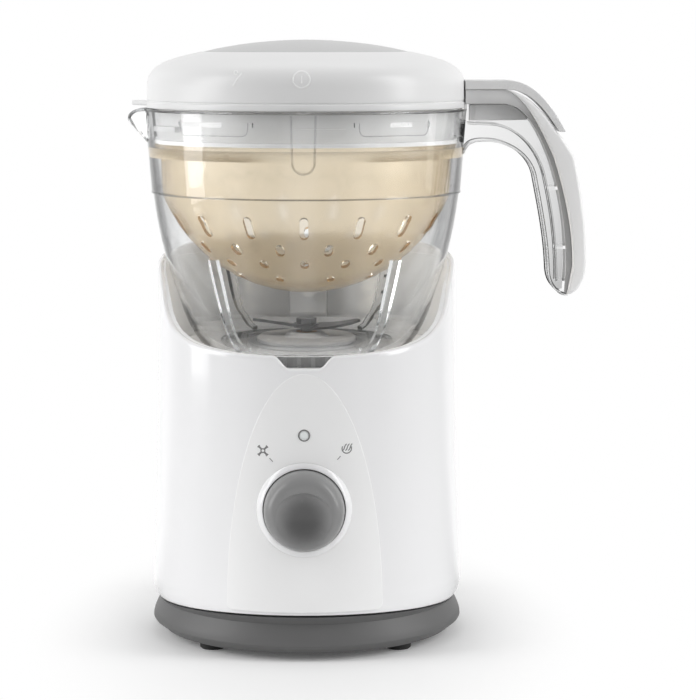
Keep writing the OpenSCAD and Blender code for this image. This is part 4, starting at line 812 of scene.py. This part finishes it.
spout_half = curve((-76.5, -13.2, 268.9), (-84.5, -9.8, 269.9), (-89.4, -5.4, 268.2), (-90.2, 0, 264.7), 16)
spout_path = spout_half + [(x, -y, z) for x, y, z in reversed(spout_half[:-1])]
jug_bead("jug_spout_lip", spout_path, 0.75, spout_edge_painted_shade)
# side lines of the loop as (x, z) from the rim's outer edge
rim_x, rim_z, loop_half = 82.0, 269.5, 10.5
loop_hole = (
    curve((51.5, -94.2), (50, -94.2), (48.5, -93.9), (47.1, -92.9), 6)
    + curve((47.1, -92.9), (42.5, -89.5), (41.6, -85.5), (41.4, -79.5), 10)[1:]
    + curve((41.4, -79.5), (40.6, -63.5), (37, -47.5), (34.7, -35.5), 14)[1:]
    + curve((34.7, -35.5), (33, -23.5), (21, -15.8), (10, -15.8), 18)[1:]
    + curve((10, -15.8), (2, -15.5), (-0.5, -17), (-2.5, -22.5), 10)[1:]
)
loop_wall_line = (
    curve((45.6, -87.5), (45.4, -64.5), (43, -51.5), (39.5, -35.5), 16)
    + curve((39.5, -35.5), (36.5, -20.5), (25, -8), (11, -7.7), 20)[1:]
    + [(5, -7.5), (0, -7.2)]
)
for side, word in ((-1, "front"), (1, "back")):
    for line, part, thick in ((loop_hole, "loop_edge_painted_shade", 0.8), (loop_wall_line, "loop_step", 0.55)):
        path = [(rim_x + x, side * (loop_half - thick), rim_z + z) for x, z in line]
        jug_bead("jug_" + part + "_" + word, path, thick, loop_edge_painted_shade)
# name: radius, height, thickness
rings = {"jug_rim_bead": (81.4, 268.9, 0.5), "jug_ring_bead": (78.65, 227.5, 0.4)}
for name, (bead_r, bead_z, thick) in rings.items():
    lathe(name, loop(bead_r, bead_z, thick, count=12), "jug", "clear_jug", rim_edge_painted_shade, 256, 60)
# the wall widens evenly from its ring to its rim
ring_z, ring_r = 228.0, 78.8


def on_jug(x, z, inward):
    """A point on the front of the jug's upper wall, inward from its outside."""
    radius = ring_r + (rim_x - ring_r) * (z - ring_z) / (rim_z - ring_z) - inward
    return (x, -math.sqrt(radius * radius - x * x), z)


# the index tongue in front, with a round foot, and the lower edges of the two lid ramps
index_half, index_foot_z, index_bead = 5.4, 240.0, 0.5
index_side = [(-index_half - 0.6, 268.2), (-index_half - 0.3, 257.0)]
index_line = index_side + loop(0, index_foot_z + index_half, index_half, 180, 360, 16)
index_line += [(-x, z) for x, z in reversed(index_side)]
jug_bead("jug_tongue_edge", [on_jug(x, z, -0.1) for x, z in index_line], index_bead, index_edge_painted_shade)
ramp_z, ramp_inward, ramp_bead = 258.0, 2.3, 0.3
ramp_line = (
    curve((26.5, 264.5), (26.5, 260.0), (27.0, ramp_z), (30.0, ramp_z), 10)
    + curve((30.0, ramp_z), (40.0, ramp_z), (52.0, ramp_z), (57.0, ramp_z), 20)[1:]
    + curve((57.0, ramp_z), (59.5, ramp_z), (60.0, 260.0), (60.0, 265.5), 10)[1:]
)
for side, word in ((-1, "left"), (1, "right")):
    path = [on_jug(side * x, z, ramp_inward) for x, z in ramp_line]
    jug_bead("jug_ramp_edge_" + word, path, ramp_bead, rim_edge_painted_shade)

# ---------- handle ----------
# A grey inlay and a light grip shell snap over the back of the clear loop and are screwed to it. The
# inlay is painted paler at its top and darker down its curve: painted light and painted shade. A
# light strip closes the top, up to the lid.

# paler above 277 mm, darker below 262 mm: painted light on top, painted shade down the curve
inlay_painted_light_and_shade = painted_light_plastic(
    "inlay_grey_painted_light_and_shade", lambda paint: paint.axis("Z"), (0.262, 0.277), (tone(166), tone(226)),
    0.006, (9, 3), 0.36, 0.08, 0.02,
)
grip_grey = plastic("grip_light_grey", tone(251), 0.30, grain=0.6, cloud=0.01, wear=0.1)
key_grey = plastic("inlay_key_grey", tone(252), 0.36, grain=0.5)
strip_white = plastic("strip_white_plastic", tone(234), 0.28, grain=0.8, cloud=0.01)
lid_clear_radius, lid_foot_z = 81.7, 269.4


def spaced(path, count):
    """The same line with evenly spaced points."""
    path = np.array(path, float)
    run = np.r_[0, np.cumsum(np.linalg.norm(np.diff(path, axis=0), axis=1))]
    at = np.linspace(0, run[-1], count)
    return np.array([np.interp(at, run, path[:, 0]), np.interp(at, run, path[:, 1])]).T


def strap(name, back, front, width, edge, slot, material, count=90):
    """A strap on the handle between two side lines of (x, z) points, with its four long edges
    rounded. Where it reaches the lid's height it stops short of the lid."""
    rows = []
    for outer, inner in zip(spaced(back, count), spaced(front, count)):
        thick = max(float(np.linalg.norm(inner - outer)), 0.02)
        across = (inner - outer) / thick
        round_off = min(edge, 0.45 * thick)
        half = width / 2
        near, deep, side = round_off, thick - round_off, half - round_off
        ring = [
            (s - round_off * math.cos(a), y + round_off * math.sin(a))
            for quarter, (s, y) in enumerate(((near, side), (deep, side), (deep, -side), (near, -side)))
            for a in math.pi / 2 * (quarter + np.linspace(0, 1, 6))
        ]
        row = []
        for s, y in ring:
            x, z = outer + across * s
            if z > lid_foot_z:
                x = max(x, math.sqrt(lid_clear_radius**2 - y * y))
            row.append((x, y, z))
        rows.append(row)
    return shape(name, *capped(rows), "jug", slot, material, 38)


inlay_back = (
    [(79.8, 279.2), (101, 279.2)]
    + curve((101, 279.2), (110, 276.5), (118, 262), (125.6, 244.7), 16)[1:]
    + curve((125.6, 244.7), (131.5, 226), (135.6, 208), (135.4, 190), 16)[1:]
    + [(132.8, 175.6)]
)
inlay_front = (
    [(79.8, 272), (101.4, 272)]
    + curve((101.4, 272), (110.1, 270.6), (117.1, 261.1), (123.4, 244.5), 16)[1:]
    + curve((123.4, 244.5), (128.6, 230), (132.3, 212), (132.5, 190), 16)[1:]
    + [(131.7, 176.6)]
)
band = strap("handle_inlay_band", inlay_back, inlay_front, 24, 0.5, "mid_grey", inlay_painted_light_and_shade)
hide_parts("handle_inlay")
key_top = [(83, 271.7)] + curve((101.4, 271.7), (106, 271.2), (110, 268), (112.4, 264.6), 8)
key_under = [(83, 263.6)] + curve((92, 263.6), (100, 263.6), (107, 263.8), (111.9, 263.9), 8)
strap("handle_inlay_key", key_top, key_under, 13, 0.4, "mid_grey", key_grey, 40)
shell_back = (
    [(101, 279.22)]
    + curve((105, 278.4), (114, 275), (121, 268), (127.6, 257.2), 14)
    + curve((128.6, 256.9), (132, 251.5), (134.6, 248), (136.2, 244.8), 6)
    + curve((136.2, 244.8), (139, 232), (142.8, 212), (142.6, 190), 18)[1:]
    + curve((142.6, 190), (142, 183), (139, 177), (134.6, 175.6), 10)[1:]
)
grip = strap("grip_back", shell_back, inlay_back[1:], 26, 1.6, "light_grey", grip_grey, 140)
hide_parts("handle_grip_shell")
strip_top = [(79.8, 284)] + curve((101, 284), (113, 284), (122, 276), (131.6, 258), 20)
strip_under = [(79.8, 279.35)] + curve((101, 279.35), (112, 279), (119, 272.5), (128.3, 258), 20)
strip = strap("handle_top_band", strip_top, strip_under, 26, 0.45, "light_grey", strip_white)
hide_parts("handle_top_strip")

# ---------- blade unit ----------
# The ribbed collar is satin plastic, grey on its rib crests and painted pale nearer its middle:
# painted light where the well's deep shade falls. The round carrier is mid grey. The two-winged
# blade is stamped from stainless steel, ground along its edges and held by a hexagon nut.

# paler nearer the middle than on the rib crests: the pale is painted light where the well is shaded
collar_painted_light = painted_light_plastic(
    "ribbed_collar_painted_light", lambda paint: paint.length(paint.scaled((1, 1, 0))), (0.0657, 0.0664),
    (tone(244), tone(140)), 0.0004, (0.5, 3, 0.6), 0.40, 0.08, 0.03,
)
coat_solids(collar_painted_light, "jug_collar")
coat_solids(plastic("carrier_grey_plastic", tone(172), 0.34, wear=0.2), "blade_carrier")
blade_steel = metal("ground_blade_steel", tone(100), 0.32, line=(12, 1, 1), grain=0.5, bump=0.02)
coat_slot(blade_steel, "blade_steel")

# ---------- steaming basket ----------
# A deep bowl in slightly milky amber plastic with rings of slots, whose cut edges are deeper in
# colour. It hangs by its rim on the jug's ledge.

amber = clear_plastic(
    "amber_basket_plastic", (0.99, 0.945, 0.86, 1), (0.995, 0.985, 0.97, 1), 0.16, bump=0.003, index=1.25,
    haze=0.14, milk=tone(252, 228, 186),
)
deep_amber = clear_plastic(
    "amber_slot_edges", (0.90, 0.56, 0.26, 1), (0.985, 0.97, 0.945, 1), 0.05, index=1.32
)
basket = dress("amber_basket", "steam_basket", "basket", amber, sharp=30)
basket.data.materials.append(deep_amber)
bowl_centre_z, bowl_top_z, seat_z, seat_gap = 254.5, 227.2, 250.5, 0.08
slot_top_z, edge_on = seat_z - 2, 0.6
# the rim is lifted a hair off the jug's ledge, so that the two clear faces don't lie in one plane
spots = basket.data.vertices
for spot in spots:
    if abs(spot.co.z * 1000 - seat_z) < 0.01:
        spot.co.z += seat_gap / 1000
# the bowl is shaded as a true ball, and the faces that look along its skin are the slots' edges
bowl_centre = type(basket.location)((0, 0, bowl_centre_z / 1000))
leans = [tuple(n.vector) for n in basket.data.corner_normals]
for face in basket.data.polygons:
    facing = face.normal.dot((face.center - bowl_centre).normalized())
    height = face.center.z * 1000
    if height < slot_top_z and abs(facing) < edge_on:
        face.material_index = 1
    elif height < bowl_top_z:
        for i in face.loop_indices:
            out = (spots[basket.data.loops[i].vertex_index].co - bowl_centre).normalized()
            leans[i] = tuple(out * math.copysign(1, facing))
basket.data.normals_split_custom_set(leans)

# ---------- inner lid and its seal ----------
# The underside of the lid is a milky tray with four lugs. The silicone ring round its foot, which
# presses on the basket's rim, has its finish already.

milky_tray = clear_plastic(
    "milky_inner_lid_plastic", (0.94, 0.945, 0.945, 1), grey_light(0.95), 0.22, bump=0.01, index=1.25,
    haze=0.55, milk=tone(226),
)
dress("milky_inner_lid", "lid_inner", "lid", milky_tray, sharp=30)

# ---------- lid ----------
# A domed cover in satin white with a tongue over the pouring lip. A grey disc is let into its top,
# and the signs for open and closed are raised on its front.

lid_white = plastic("lid_satin_white", tone(236), 0.33, cloud=0.008, grain=1.4, bump=0.004)
cap_grey = plastic("lid_cap_grey", tone(194), 0.32, cloud=0.02, grain=0.6)
lid_radius, lid_inner_radius, lid_bottom_z, shoulder_z = 80.8, 78.7, 270.1, 281
foot_line = [
    (lid_inner_radius, lid_bottom_z, 0), (81.0, lid_bottom_z, 0.4), (81.0, 273.0, 0.25),
    (80.35, 273.35, 0.2), (80.35, 273.75, 0.15), (lid_radius, 274.2, 0.3), (lid_radius, 276.6, 0),
]
lid_side = rounded(foot_line, 4) + [(lid_radius, shoulder_z)]
lid_side += curve((lid_radius, shoulder_z), (lid_radius, 291), (72, 294.5), (53.2, 298.25), 32)[1:]
lid_seat = [(52.8, 298.0), (52.6, 296.8), (0.05, 301.6), (0.05, 299.6), (50.4, 294.5)]
lid_inside = [(lid_inner_radius, 288), (lid_inner_radius, shoulder_z)]
lid_inside = curve((50.4, 294.5), (69, 291.4), *lid_inside, 10)[1:] + [(lid_inner_radius, lid_bottom_z)]
dome = lathe("lid_dome_shell", lid_side + lid_seat + lid_inside, "lid", "lid_white", lid_white, 256)
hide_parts("lid_dome")
# the tongue from above, as (x, y) on one side, and its rounded edge as (height, inset)
tongue_root, tongue_tip, root_half, tip_half, tip_chamfer = 79.5, 88.5, 12.6, 2.6, (0.8, 0.9)
tongue_side = [
    (-tongue_root, root_half), (-tongue_tip + tip_chamfer[0], tip_half),
    (-tongue_tip, tip_half - tip_chamfer[1]),
]
tongue_line = np.array(tongue_side + [(x, -y) for x, y in reversed(tongue_side)])
tongue_edge_line = ((271.3, 0.5), (271.45, 0.15), (271.8, 0), (273.1, 0), (273.5, 0.2), (273.7, 0.7))
rows = []
for z, inset in tongue_edge_line:
    x = np.minimum(tongue_line[:, 0] + inset, -tongue_root)
    y = tongue_line[:, 1] - np.sign(tongue_line[:, 1]) * inset
    rows.append(np.stack([x, y, np.full(x.shape, z)], 1))
shape("lid_spout_tongue", *capped(rows), "lid", "lid_white", lid_white, 35)
cap_line = [(52.2, 296.9), (52.2, 298.0)]
cap_line += curve((52.0, 298.25), (38.3, 301.9), (17.8, 304.3), (0.05, 304.28), 24)
cap = lathe("lid_cap_disc", cap_line, "lid", "light_grey", cap_grey, 192)
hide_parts("lid_cap")

lid_marks = plastic("lid_mark_white", tone(251), 0.3, bump=0.002)
mark_height, mark_lowest_z = 0.22, 276
outside = np.array(lid_side)
outside = outside[outside[:, 1] > mark_lowest_z]


def on_lid(x, z, up):
    """A point on the front of the dome, raised a little."""
    radius = float(np.interp(z, outside[:, 1], outside[:, 0])) + up
    return (x, -math.sqrt(radius * radius - x * x), z)


closed_x, closed_z, open_ring = -0.8, 285.4, (-32.6, 288.6)
closed_bar = [(closed_x, closed_z - 1.8), (closed_x, closed_z + 1.8)]
closed_mark = [(loop(closed_x, closed_z, 4.0, count=40), 0.7, True), (closed_bar, 0.7, False)]
open_bar = [(-29.5, 288.4), (-31.9, 285.5), (-33.9, 282.2)]
open_mark = [(open_bar, 0.7, False), (loop(*open_ring, 0.9, count=12), 0.5, True)]
for name, lines in (("lid_closed_sign", closed_mark), ("lid_open_sign", open_mark)):
    sign(name, lines, mark_height, on_lid, "lid", "lid_white", lid_marks)

# ---------- model boxes --------
# The boxes of the model before and after dressing are kept.

dressed_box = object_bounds()


def plain(value):
    """Lists of plain numbers from whatever holds them."""
    return float(value) if isinstance(value, (int, float)) else [plain(v) for v in value]


{"cad": plain(cad_box), "dressed": plain(dressed_box)}
